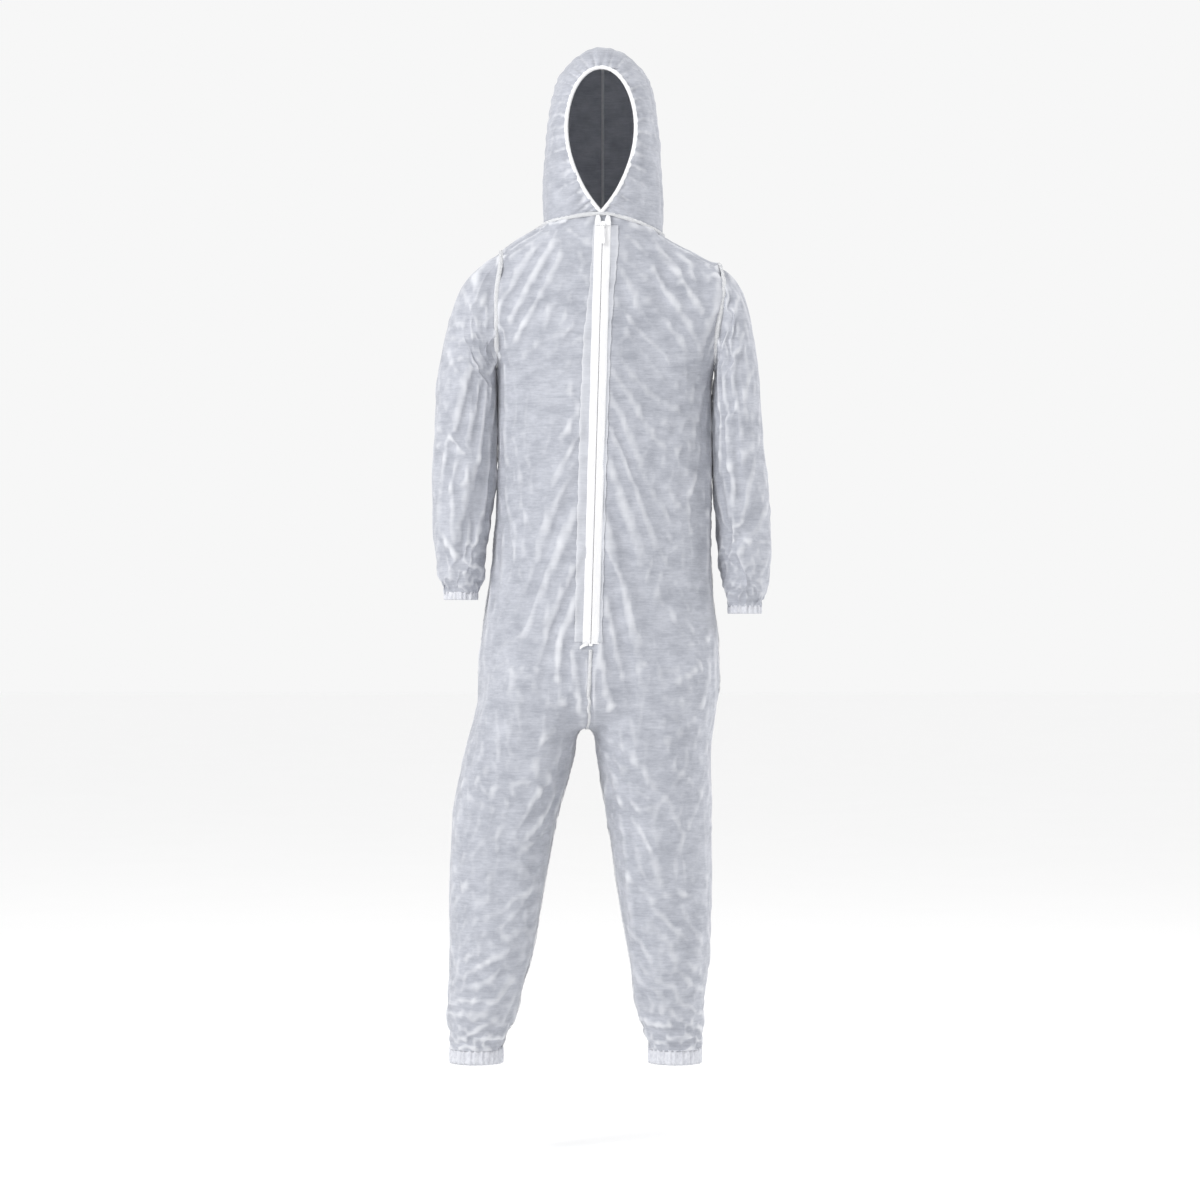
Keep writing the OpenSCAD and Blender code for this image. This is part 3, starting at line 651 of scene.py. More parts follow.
BACK_FOLDS = [
    ([(-176, -180), (-100, -220), (-10, -236)], 9, 4.0),
    ([(176, -190), (100, -236), (10, -250)], 9, 4.0),
    ([(-150, -90), (-80, -160), (-30, -300)], 8, 3.5),
    ([(150, -100), (84, -170), (40, -310)], 8, 3.5),
    ([(-120, -400), (-60, -470), (60, -480)], 9, 3.5),
    ([(130, -430), (60, -520), (-40, -560)], 9, 3.5),
    ([(-24, -800), (-90, -740), (-170, -690)], 8, 4.0),
    ([(-24, -800), (60, -744), (150, -690)], 8, 4.0),
    ([(-30, -830), (-90, -880), (-170, -900)], 8, 4.0),
    ([(-30, -830), (30, -890), (120, -910)], 8, 4.0),
    ([(-110, -1090), (-170, -1110), (-240, -1080)], 8, 4.0),
    ([(36, -1090), (100, -1116), (166, -1090)], 8, 4.0),
    ([(-130, -1150), (-190, -1170), (-250, -1150)], 8, 4.0),
    ([(40, -1150), (100, -1176), (166, -1160)], 8, 4.0),
]
SLEEVE_FOLDS = [
    ([(-238, -110), (-212, -160), (-186, -240)], 6, 4.5),
    ([(-256, -150), (-224, -220), (-190, -290)], 6, 4.5),
    ([(-272, -200), (-240, -270), (-196, -340)], 6, 3.5),
    ([(-214, -84), (-200, -140), (-184, -200)], 5, 4.0),
    ([(-282, -330), (-236, -380), (-186, -400)], 7, 4.0),
    ([(-190, -360), (-236, -430), (-284, -450)], 7, 4.0),
    ([(-262, -420), (-248, -520), (-252, -610)], 6, 4.0),
    ([(-284, -500), (-240, -560), (-206, -580)], 6, 3.5),
    ([(-200, -500), (-226, -560), (-232, -616)], 5, 3.5),
    ([(236, -116), (214, -170), (190, -250)], 6, 4.5),
    ([(250, -160), (222, -230), (190, -300)], 6, 4.5),
    ([(262, -210), (236, -290), (190, -350)], 6, 3.5),
    ([(212, -94), (200, -150), (190, -210)], 5, 4.0),
    ([(270, -350), (230, -396), (186, -416)], 7, 4.0),
    ([(254, -414), (232, -480), (210, -560), (213, -636)], 6, 4.5),
    ([(276, -480), (240, -540), (200, -566)], 6, 3.5),
    ([(262, -560), (240, -600), (238, -640)], 5, 3.5),
]


HOOD_FOLDS = [
    ([(-86, 8), (-88, 70), (-80, 150)], 6, 2.2),
    ([(-66, 30), (-76, 100), (-74, 190)], 5, 1.6),
    ([(82, -4), (86, 70), (80, 150)], 6, 2.2),
    ([(62, 20), (74, 90), (72, 180)], 5, 1.6),
    ([(-30, 12), (-56, 36), (-86, 44)], 5, 1.8),
    ([(24, 10), (52, 30), (84, 34)], 5, 1.8),
    ([(-62, 232), (-40, 262), (-8, 276)], 5, 1.4),
    ([(60, 228), (38, 260), (8, 276)], 5, 1.4),
]
HOOD_BACK_FOLDS = [
    ([(-80, 20), (-60, 90), (-56, 190)], 8, 3.0),
    ([(76, 16), (60, 100), (52, 200)], 8, 3.0),
    ([(-40, 6), (-30, 60), (-36, 130)], 7, 2.6),
    ([(40, 6), (26, 70), (34, 150)], 7, 2.6),
    ([(-60, 30), (0, 14), (56, 34)], 7, 2.4),
]


def folded(points, faces, folds, view="front"):
    normals = normals_of(points, faces)
    moved = points.copy()
    for line, width, height in folds:
        moved += crease(points, normals, line, width, height, view)
    return moved


def gathers(points, normals, distance, around, count, height, reach):
    """Small radial folds that fade out away from an elastic hem."""
    wave = np.sin(count * around) + 0.5 * np.sin(1.7 * count * around + 1.3) + 0.3 * np.sin(0.43 * count * around)
    fade = np.exp(-distance / reach) * np.clip(distance / 0.004, 0.3, 1)
    return (height * wave * fade)[:, None] * normals


# ---------------------------------------------------------------- cloth simulation


def settle(points, faces, pinned, inner, growth, cap, frames):
    """Lets the cloth, a little too large for its form, fold under its own weight."""
    obj = make_object("cloth_run", points, faces)
    group = obj.vertex_groups.new(name="pin")
    for i in np.nonzero(pinned)[0]:
        group.add([int(i)], 1.0, "REPLACE")
    form = make_object("inner_form", inner, faces)
    form.modifiers.new("collision", "COLLISION")
    form.collision.thickness_outer = 0.002
    form.collision.cloth_friction = 12
    cloth = obj.modifiers.new("cloth", "CLOTH")
    settings = cloth.settings
    settings.quality = 5
    settings.mass = 0.15
    settings.tension_stiffness = 12
    settings.compression_stiffness = 12
    settings.shear_stiffness = 4
    settings.bending_stiffness = 0.15
    settings.air_damping = 2
    settings.shrink_min = -growth
    settings.shrink_max = -growth
    settings.vertex_group_mass = "pin"
    cloth.collision_settings.distance_min = 0.002
    cloth.collision_settings.use_self_collision = False
    cloth.point_cache.frame_start = 1
    cloth.point_cache.frame_end = frames
    scene = bpy.context.scene
    for frame_number in range(1, frames + 1):
        scene.frame_set(frame_number)
    shown = obj.evaluated_get(bpy.context.evaluated_depsgraph_get())
    mesh = shown.to_mesh()
    after = np.array([v.co[:] for v in mesh.vertices])
    shown.to_mesh_clear()
    scene.frame_set(1)
    remove(obj)
    remove(form)
    moved = after - points
    size = np.linalg.norm(moved, axis=1, keepdims=True)
    moved *= np.where(size > 1e-9, cap * np.tanh(size / cap) / np.maximum(size, 1e-9), 1)
    return points + moved


def joined(*meshes):
    """Several meshes as one, with the first point of each."""
    points, faces, starts = [], [], []
    count = 0
    for p, f in meshes:
        starts.append(count)
        points.append(p)
        faces += [[count + i for i in face] for face in f]
        count += len(p)
    return np.concatenate(points), faces, starts + [count]


def subdivided(points, faces):
    obj = make_object("finer", points, faces)
    finer = obj.modifiers.new("finer", "SUBSURF")
    finer.levels = 1
    finer.render_levels = 1
    return applied(obj)


def border(faces, count):
    """True for points on an open edge."""
    seen = {}
    for f in faces:
        for a, b in zip(f, f[1:] + f[:1]):
            key = (min(a, b), max(a, b))
            seen[key] = seen.get(key, 0) + 1
    out = np.zeros(count, bool)
    for (a, b), times in seen.items():
        if times == 1:
            out[a] = out[b] = True
    return out


def crinkled(points, faces):
    """Fine random creases, mostly upright, that fade out at the cloth's edges and beside the zip."""
    normals = normals_of(points, faces)
    edges = edges_of(faces)
    still = border(faces, len(points)).astype(float)[:, None]
    still = np.clip(relax(still, edges, 6, 0.7)[:, 0] * 4, 0, 1)
    beside = np.clip((0.028 - np.abs(points[:, 0] - zip_x(points[:, 2]))) / 0.012, 0, 1)
    beside *= (points[:, 1] < 0) & (points[:, 2] > -0.72) & (points[:, 2] < 0.004)
    free = (1 - still) * (1 - beside)
    height = np.zeros(len(points))
    for i, p in enumerate(points):
        bend = noise.noise_vector(Vector(p) * 6) * 0.55
        q = Vector((p[0] * 15, p[1] * 15, p[2] * 7)) + bend
        height[i] = noise.ridged_multi_fractal(q, 0.9, 2.1, 3, 1.0, 2.0)
    height -= height.mean()
    return points + (CRINKLE * height * free)[:, None] * normals, faces


def make_garment():
    """The cloth of the suit: trunk, two sleeves and hood, as points and faces."""
    trunk, trunk_faces = make_trunk()
    trunk = folded(trunk, trunk_faces, BODY_FOLDS + LEG_FOLDS + zone_folds(FRONT_ZONES))
    trunk = folded(trunk, trunk_faces, BACK_FOLDS + zone_folds(BACK_ZONES), "back")
    side_folds = {view: zone_folds(SIDE_ZONES) for view in SIDES}
    for view in SIDES:
        trunk = folded(trunk, trunk_faces, side_folds[view], view)
    sleeve_folds = zone_folds(SLEEVE_ZONES)
    sleeve_back = zone_folds(SLEEVE_ZONES)
    normals = normals_of(trunk, trunk_faces)
    for side in (RIGHT, LEFT):
        x, y = LEGS[side](ANKLE_TOP)[:2]
        leg = (trunk[:, 2] < -1.2) & ((trunk[:, 0] < -0.03) == (side == RIGHT))
        around = np.arctan2(trunk[:, 1] - y, trunk[:, 0] - x)
        move = gathers(trunk, normals, trunk[:, 2] - ANKLE_TOP, around, 23, 0.0026, 0.034)
        trunk = trunk + np.where(leg[:, None], move, 0)
    sleeves = []
    for side in (RIGHT, LEFT):
        points, faces = make_sleeve(side)
        points = folded(points, faces, SLEEVE_FOLDS + sleeve_folds)
        points = folded(points, faces, sleeve_back, "back")
        for view in SIDES:
            points = folded(points, faces, side_folds[view], view)
        normals = normals_of(points, faces)
        row = np.repeat(np.arange(SLEEVE_ROWS), SLEEVE_COLUMNS)
        around = np.tile(np.linspace(0, 2 * pi, SLEEVE_COLUMNS, endpoint=False), SLEEVE_ROWS)
        from_cuff = (SLEEVE_ROWS - 1 - row) * 0.0066
        points = points + gathers(points, normals, from_cuff, around, 15, 0.0024, 0.036)
        sleeves.append((points, faces))
    hood, hood_faces = make_hood()
    hood = folded(hood, hood_faces, HOOD_FOLDS)
    hood = folded(hood, hood_faces, HOOD_BACK_FOLDS, "back")
    for view in SIDES:
        hood = folded(hood, hood_faces, zone_folds(HOOD_SIDE_ZONES), view)
    normals = normals_of(hood, hood_faces)
    outline = shaped([(x, 0, z) for x, z in face_outline()])[:, [0, 2]]
    gap = np.sqrt(((hood[:, None, [0, 2]] - outline[None, :, :]) ** 2).sum(2))
    distance = gap.min(1)
    place = gap.argmin(1) / len(outline) * 2 * pi
    frontal = hood[:, 1] < 0.02
    move = gathers(hood, normals, distance, place, 41, 0.0034, 0.026)
    hood = hood + np.where((frontal & (distance > 0.002))[:, None], move, 0)
    points, faces, starts = joined((trunk, trunk_faces), *sleeves, (hood, hood_faces))
    edge = border(faces, len(points))
    front_zip = (np.abs(points[:, 0] - zip_x(points[:, 2])) < 0.017) & (points[:, 1] < 0)
    front_zip &= (points[:, 2] > -0.72) & (np.arange(len(points)) < starts[1])
    normals = normals_of(points, faces)
    inner = points - 0.009 * normals
    hold = edge | front_zip | (np.arange(len(points)) >= starts[3])
    points = settle(points, faces, hold, inner, 0.016, 0.009, 16)
    groups = []
    for first, last in zip(starts, starts[1:]):
        own = [[i - first for i in f] for f in faces if first <= f[0] < last]
        groups.append(crinkled(*subdivided(points[first:last], own)))
    return groups


def face_outline(count=260):
    """The face opening's edge as (x, z), anticlockwise from its lowest point."""
    turn = np.linspace(0, pi, count // 2, endpoint=False)
    up = FACE_LOW + (FACE_TOP - FACE_LOW) * (1 - np.cos(turn)) / 2
    down = FACE_LOW + (FACE_TOP - FACE_LOW) * (1 + np.cos(turn)) / 2
    right = np.column_stack([FACE_X + face_half(up), up])
    left = np.column_stack([FACE_X - face_half(down), down])
    return np.concatenate([right, left])


# ---------------------------------------------------------------- materials


class Surface:
    """A procedural material, built node by node around one Principled shader."""

    def __init__(self, name, roughness=0.7, **constants):
        self.material = bpy.data.materials.new(name)
        self.material.use_nodes = True
        self.tree = self.material.node_tree
        self.shader = self.tree.nodes["Principled BSDF"]
        self.shader.inputs["Roughness"].default_value = roughness
        for socket, value in constants.items():
            self.shader.inputs[socket.replace("_", " ")].default_value = value
        self.place = self.tree.nodes.new("ShaderNodeTexCoord")

    def link(self, a, b):
        self.tree.links.new(a, b)

    def mapped(self, scale, coordinates="Object", turn=(0, 0, 0)):
        node = self.tree.nodes.new("ShaderNodeMapping")
        node.inputs["Scale"].default_value = scale
        node.inputs["Rotation"].default_value = turn
        self.link(self.place.outputs[coordinates], node.inputs["Vector"])
        return node.outputs["Vector"]

    def noise(self, scale, detail=4, roughness=0.6, distortion=0.0, **where):
        node = self.tree.nodes.new("ShaderNodeTexNoise")
        node.inputs["Scale"].default_value = 1.0
        node.inputs["Detail"].default_value = detail
        node.inputs["Roughness"].default_value = roughness
        node.inputs["Distortion"].default_value = distortion
        self.link(self.mapped(scale, **where), node.inputs["Vector"])
        return node.outputs["Fac"]

    def cells(self, scale, **where):
        node = self.tree.nodes.new("ShaderNodeTexVoronoi")
        node.inputs["Scale"].default_value = 1.0
        self.link(self.mapped(scale, **where), node.inputs["Vector"])
        return node.outputs["Distance"]

    def wave(self, scale, direction="X", **where):
        node = self.tree.nodes.new("ShaderNodeTexWave")
        node.bands_direction = direction
        node.inputs["Scale"].default_value = 1.0
        node.inputs["Distortion"].default_value = 0.4
        self.link(self.mapped(scale, **where), node.inputs["Vector"])
        return node.outputs["Fac"]

    def math(self, operation, a, b):
        node = self.tree.nodes.new("ShaderNodeMath")
        node.operation = operation
        for socket, value in zip(node.inputs, (a, b)):
            if isinstance(value, (int, float)):
                socket.default_value = value
            else:
                self.link(value, socket)
        return node.outputs["Value"]

    def spread(self, value, low, high, to_low=0.0, to_high=1.0):
        node = self.tree.nodes.new("ShaderNodeMapRange")
        node.inputs["From Min"].default_value = low
        node.inputs["From Max"].default_value = high
        node.inputs["To Min"].default_value = to_low
        node.inputs["To Max"].default_value = to_high
        self.link(value, node.inputs["Value"])
        return node.outputs["Result"]

    def blend_colours(self, factor, a, b):
        node = self.tree.nodes.new("ShaderNodeMix")
        node.data_type = "RGBA"
        self.link(factor, node.inputs["Factor"])
        for socket, colour in ((node.inputs[6], a), (node.inputs[7], b)):
            if isinstance(colour, tuple):
                socket.default_value = (*colour, 1)
            else:
                self.link(colour, socket)
        return node.outputs[2]

    def attribute(self, name):
        node = self.tree.nodes.new("ShaderNodeAttribute")
        node.attribute_name = name
        return node.outputs["Fac"]

    def bump(self, height, strength, distance):
        node = self.tree.nodes.new("ShaderNodeBump")
        node.inputs["Strength"].default_value = strength
        node.inputs["Distance"].default_value = distance
        self.link(height, node.inputs["Height"])
        self.link(node.outputs["Normal"], self.shader.inputs["Normal"])

    def colour(self, value):
        self.link(value, self.shader.inputs["Base Color"])

    def roughness(self, value):
        self.link(value, self.shader.inputs["Roughness"])


THIN = (0.315, 0.328, 0.370)
DENSE = (0.460, 0.474, 0.522)
# The third colour is a painted highlight: the pale that the cloth is blended towards on fold ridges and on the zip
# facing
RIDGE_HIGHLIGHT = (0.72, 0.73, 0.76)


def nonwoven():
    """Spunbonded cloth: cloudy web of fibres, streaks along the web, small bond points, and a painted highlight
    along the ridges of its folds.
    """
    s = Surface("nonwoven", 0.7, Sheen_Weight=0.25, Sheen_Roughness=0.5, Specular_IOR_Level=0.12)
    clouds = s.noise((26, 26, 40), detail=6, roughness=0.65)
    streaks = s.noise((46, 46, 420), detail=4, roughness=0.7, distortion=0.6)
    fibres = s.noise((520, 520, 1900), detail=3, distortion=1.5)
    mixed = s.math("ADD", s.math("MULTIPLY", clouds, 0.5), s.math("MULTIPLY", streaks, 0.35))
    mixed = s.math("ADD", mixed, s.math("MULTIPLY", fibres, 0.15))
    cloudy = s.blend_colours(s.spread(mixed, 0.40, 0.60), THIN, DENSE)
    # Painted highlight: the cloth's colour is blended towards the pale highlight colour where the fold attribute
    # marks raised ridges
    raised = s.spread(s.attribute("fold"), 0.08, 1.0, 0.0, 0.72)
    s.colour(s.blend_colours(raised, cloudy, RIDGE_HIGHLIGHT))
    bonds = s.cells((620, 620, 620))
    relief = s.math("ADD", s.math("MULTIPLY", bonds, 0.5), s.math("MULTIPLY", fibres, 0.5))
    relief = s.math("ADD", relief, s.math("MULTIPLY", streaks, 0.9))
    s.bump(relief, 0.35, 0.0006)
    s.roughness(s.spread(clouds, 0.3, 0.7, 0.82, 0.68))
    return s.material


def sewn():
    """A seam of the same cloth: several layers, bright, with overlocked thread across it."""
    s = Surface("sewn_seam", 0.6, Sheen_Weight=0.3, Sheen_Roughness=0.35, Specular_IOR_Level=0.25)
    cloudy = s.noise((180, 180, 240), detail=5)
    thread = s.wave((120, 1, 1), "X", coordinates="UV", turn=(0, 0, 0.35))
    base = s.blend_colours(s.spread(cloudy, 0.35, 0.65), (0.70, 0.71, 0.74), (0.80, 0.81, 0.83))
    s.colour(s.blend_colours(s.math("MULTIPLY", thread, 0.35), base, (0.88, 0.88, 0.89)))
    s.bump(s.math("ADD", thread, s.math("MULTIPLY", cloudy, 0.4)), 0.6, 0.0006)
    return s.material


def gathered():
    """The cloth of the hems, bunched over the elastic."""
    s = Surface("gathered_hem", 0.6, Sheen_Weight=0.35, Sheen_Roughness=0.35, Specular_IOR_Level=0.25)
    cloudy = s.noise((220, 220, 160), detail=5)
    fibres = s.noise((900, 900, 1800), detail=3, distortion=1.0)
    bunched = s.blend_colours(s.spread(cloudy, 0.35, 0.65), (0.52, 0.53, 0.575), (0.66, 0.67, 0.71))
    s.colour(s.blend_colours(s.attribute("stretched"), bunched, (0.81, 0.81, 0.82)))
    s.bump(s.math("ADD", cloudy, s.math("MULTIPLY", fibres, 0.5)), 0.5, 0.0008)
    return s.material


def tape_weave():
    """Woven zip tape: a fine rib along it and picks across it."""
    s = Surface("zip_tape_weave", 0.55, Sheen_Weight=0.25, Sheen_Roughness=0.3, Specular_IOR_Level=0.3)
    ribs = s.wave((1, 55, 1), "Y", coordinates="UV")
    picks = s.wave((160, 1, 1), "X", coordinates="UV")
    worn = s.noise((300, 300, 60), detail=4)
    weave = s.math("MULTIPLY", ribs, picks)
    s.colour(s.blend_colours(s.spread(worn, 0.3, 0.7), (0.78, 0.78, 0.795), (0.855, 0.855, 0.865)))
    s.bump(weave, 0.5, 0.0004)
    return s.material


def nylon():
    s = Surface("zip_coil_nylon", 0.35, Specular_IOR_Level=0.5)
    grain = s.noise((1500, 1500, 1500), detail=3)
    s.colour(s.blend_colours(s.spread(grain, 0.3, 0.7), (0.86, 0.86, 0.87), (0.94, 0.94, 0.95)))
    s.roughness(s.spread(grain, 0.3, 0.7, 0.28, 0.45))
    return s.material


def lacquer():
    s = Surface("slider_lacquer", 0.3, Specular_IOR_Level=0.5, Coat_Weight=0.4, Coat_Roughness=0.2)
    grain = s.noise((900, 900, 900), detail=3)
    s.colour(s.blend_colours(s.spread(grain, 0.3, 0.7), (0.88, 0.88, 0.885), (0.94, 0.94, 0.945)))
    s.bump(grain, 0.15, 0.0002)
    return s.material


def elastic_weave():
    s = Surface("elastic_weave", 0.6, Sheen_Weight=0.2)
    ribs = s.wave((900, 900, 900), "Z")
    s.colour(s.blend_colours(ribs, (0.62, 0.62, 0.63), (0.82, 0.82, 0.83)))
    s.bump(ribs, 0.5, 0.0006)
    return s.material


MATERIALS = {
    "cloth": nonwoven(),
    "seam": sewn(),
    "hem": gathered(),
    "elastic": elastic_weave(),
    "zip_tape": tape_weave(),
    "zip_coil": nylon(),
    "zip_slider": lacquer(),
}


# ---------------------------------------------------------------- pieces and how they move

CROTCH = np.array([-0.029, 0, -0.83])
HIP_REACH = 0.16
HIP_WAY = (np.array([-0.5, 0, -0.866]), np.array([0.5, 0, -0.866]))
# Heights of the sleeves' cut, right and left: each sleeve is split 4 mm above the first height; the second is not
# used
ELBOW_BLEND = ((-0.345, -0.430), (-0.360, -0.445))


def finish_piece(obj, slot_name, nodes=()):
    obj.data.materials.clear()
    obj.data.materials.append(MATERIALS[slot_name])
    if nodes:
        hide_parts(*nodes)
    return obj


def on_body(obj, body):
    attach(obj, body)


def across_hip(obj):
    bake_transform(obj)


def across_knee(obj):
    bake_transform(obj)


def across_shoulder(obj, side):
    start = armhole_ring(side, np.array([pi]))[0] * [1, 0, 1]
    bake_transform(obj)


def across_elbow(obj):
    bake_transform(obj)


def across_neck(obj):
    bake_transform(obj)


def fold_highlight(points, faces):
    """How sharply the cloth is raised at each point, which sets the painted highlight along the ridges of its
    folds.
    """
    edges = edges_of(faces)
    normals = normals_of(points, faces)
    hollow = ((points - relax(points, edges, 1, 1.0)) * normals).sum(1)[:, None]
    raised = relax(hollow, edges, 3)[:, 0]
    return np.clip(raised / 0.00034, 0, 1)


def cloth_piece(name, points, faces, normals, strength, chosen):
    """One panel of the garment: the chosen faces, shaded as part of the whole."""
    own = [f for f, keep in zip(faces, chosen) if keep]
    used = np.unique(np.concatenate([np.array(f) for f in own]))
    index = np.full(len(points), -1)
    index[used] = np.arange(len(used))
    obj = make_object(name, points[used], [[int(index[i]) for i in f] for f in own])
    obj.data.normals_split_custom_set_from_vertices([tuple(n) for n in normals[used]])
    # The fold attribute carries the painted highlight of fold ridges to the cloth material
    attribute = obj.data.attributes.new("fold", "FLOAT", "POINT")
    attribute.data.foreach_set("value", strength[used].astype(np.float32))
    return obj


def flat_size(obj, length):
    """The cloth a piece was cut from: its area laid flat, as a rectangle of that length with trimmings."""
    mesh = bmesh.new()
    mesh.from_mesh(obj.data)
    area = sum(f.calc_area() for f in mesh.faces)
    mesh.free()
    width = area / length * 1.2
    return (round(width, 3), round(length, 3)), round(area * 0.97, 4)


def declare(obj, length):
    flat, area = flat_size(obj, length)


def split_trunk(points, faces):
    normals = normals_of(points, faces)
    strength = fold_highlight(points, faces)
    centre = np.array([points[f].mean(0) for f in faces])
    side = (centre[:, 0] >= CROTCH[0]).astype(int)
    way = np.array(HIP_WAY)[side]
    down = ((centre - CROTCH) * way).sum(1)
    torso, low = down <= 0, down > HIP_REACH
    top = ~torso & ~low
    front = centre[:, 1] < 0
    left = centre[:, 0] >= zip_x(centre[:, 2])
    made = {}
    for s in (RIGHT, LEFT):
        own = left == (s == LEFT)
        for name, where, node in (
            ("body_front_", torso & own & front, "front_panel_"),
            ("body_back_", torso & own & ~front, "back_panel_"),
        ):
            obj = cloth_piece(name + SIDES[s], points, faces, normals, strength, where)
            finish_piece(obj, "cloth", [node + SIDES[s]])
            on_body(obj, "torso")
            made[name + SIDES[s]] = obj
        obj = cloth_piece("leg_top_" + SIDES[s], points, faces, normals, strength, top & (side == s))
        finish_piece(obj, "cloth", ["leg_upper_" + SIDES[s]])
        across_hip(obj)
        made["leg_top_" + SIDES[s]] = obj
        obj = cloth_piece("leg_low_" + SIDES[s], points, faces, normals, strength, low & (side == s))
        finish_piece(obj, "cloth", ["leg_lower_" + SIDES[s]])
        across_knee(obj)
        made["leg_low_" + SIDES[s]] = obj
    return made


def split_sleeve(points, faces, side):
    normals = normals_of(points, faces)
    strength = fold_highlight(points, faces)
    centre = np.array([points[f].mean(0) for f in faces])
    top = centre[:, 2] > ELBOW_BLEND[side][0] + 0.004
    made = {}
    obj = cloth_piece("sleeve_top_" + SIDES[side], points, faces, normals, strength, top)
    finish_piece(obj, "cloth", ["sleeve_upper_" + SIDES[side]])
    across_shoulder(obj, side)
    made["sleeve_top_" + SIDES[side]] = obj
    obj = cloth_piece("sleeve_low_" + SIDES[side], points, faces, normals, strength, ~top)
    finish_piece(obj, "cloth", ["sleeve_lower_" + SIDES[side]])
    across_elbow(obj)
    made["sleeve_low_" + SIDES[side]] = obj
    return made


def split_hood(points, faces):
    normals = normals_of(points, faces)
    strength = fold_highlight(points, faces)
    centre = np.array([points[f].mean(0) for f in faces])
    made = {}
    for s in (RIGHT, LEFT):
        own = (centre[:, 0] >= HOOD_X) == (s == LEFT)
        obj = cloth_piece("hood_" + SIDES[s], points, faces, normals, strength, own)
        finish_piece(obj, "cloth", ["hood_panel_" + SIDES[s]])
        across_neck(obj)
        made["hood_" + SIDES[s]] = obj
    return made


# ---------------------------------------------------------------- seams, hems and elastics


class Cloth:
    """The finished surface of the garment, to lay seams on."""

    def __init__(self, *groups):
        points, faces, _ = joined(*groups)
        self.tree = BVHTree.FromPolygons([Vector(p) for p in points], faces)
        self.normals = normals_of(points, faces)
        self.points = points
        self.faces = faces

    def at(self, p):
        """The nearest point of the surface, and the outward normal there."""
        place, _, face, _ = self.tree.find_nearest(Vector(p))
        normal = self.normals[self.faces[face]].mean(0)
        return np.array(place), normal / np.linalg.norm(normal)


SEAM_PROFILE = [(-1.0, 0.15), (-0.75, 0.95), (0.0, 1.35), (0.75, 0.95), (1.0, 0.15)]


def resampled(path, step, closed=False):
    path = np.array(path, float)
    if closed:
        path = np.concatenate([path, path[:1]])
    along = np.concatenate([[0], np.cumsum(np.linalg.norm(np.diff(path, axis=0), axis=1))])
    count = max(4, int(along[-1] / step))
    t = np.linspace(0, along[-1], count + 1)
    out = np.column_stack([np.interp(t, along, path[:, k]) for k in range(3)])
    return out[:-1] if closed else out


def seam(name, path, cloth, width=0.005, closed=False, step=0.003, lift=1.0, joint=False):
    """A sewn seam: a puckered ribbon laid on the cloth along a path, or bridging the joint of two cloths."""
    path = resampled(path, step, closed)
    placed = [cloth.at(p) for p in path]
    line = np.array([p for p, _ in placed])
    normal = np.array([n for _, n in placed])
    for _ in range(8 if joint else 3):
        if closed:
            line = (np.roll(line, 1, 0) + 2 * line + np.roll(line, -1, 0)) / 4
            normal = np.roll(normal, 1, 0) + 2 * normal + np.roll(normal, -1, 0)
        else:
            line[1:-1] = (line[:-2] + 2 * line[1:-1] + line[2:]) / 4
            normal[1:-1] = normal[:-2] + 2 * normal[1:-1] + normal[2:]
        normal /= np.linalg.norm(normal, axis=1, keepdims=True)
    if joint:
        radial = line - line.mean(0)
        normal = normal + 1.5 * radial / np.linalg.norm(radial, axis=1, keepdims=True)
        normal /= np.linalg.norm(normal, axis=1, keepdims=True)
    ahead = (np.roll(line, -1, 0) - np.roll(line, 1, 0)) if closed else np.gradient(line, axis=0)
    ahead /= np.linalg.norm(ahead, axis=1, keepdims=True)
    across = np.cross(ahead, normal)
    across /= np.linalg.norm(across, axis=1, keepdims=True)
    pucker = 1 + 0.25 * np.sin(np.arange(len(line)) * 1.9) + 0.15 * np.sin(np.arange(len(line)) * 0.7)
    rows = []
    for k in range(len(line)):
        row = []
        for share, height in SEAM_PROFILE:
            base = line[k] + across[k] * share * width / 2
            if not joint:
                base, _ = cloth.at(base)
            row.append(base + normal[k] * (0.0004 + height * MM * pucker[k] * lift))
        rows.append(row)
    points = np.array(rows).reshape(-1, 3)
    columns = len(SEAM_PROFILE)
    faces = tube_faces(len(line), columns, wrap=False)
    if closed:
        last = (len(line) - 1) * columns
        faces += [[last + j, j, j + 1, last + j + 1] for j in range(columns - 1)]
    obj = make_object(name, points, faces)
    uv_grid(obj, columns, step, width)
    return finish_piece(obj, "seam")


def uv_grid(obj, columns, step, width):
    """UV coordinates of a ribbon: metres along it times ten, and its width from 0 to 1."""
    layer = obj.data.uv_layers.new(name="along")
    for loop in obj.data.loops:
        row, column = divmod(loop.vertex_index, columns)
        layer.data[loop.index].uv = (row * step * 10, column / (columns - 1))


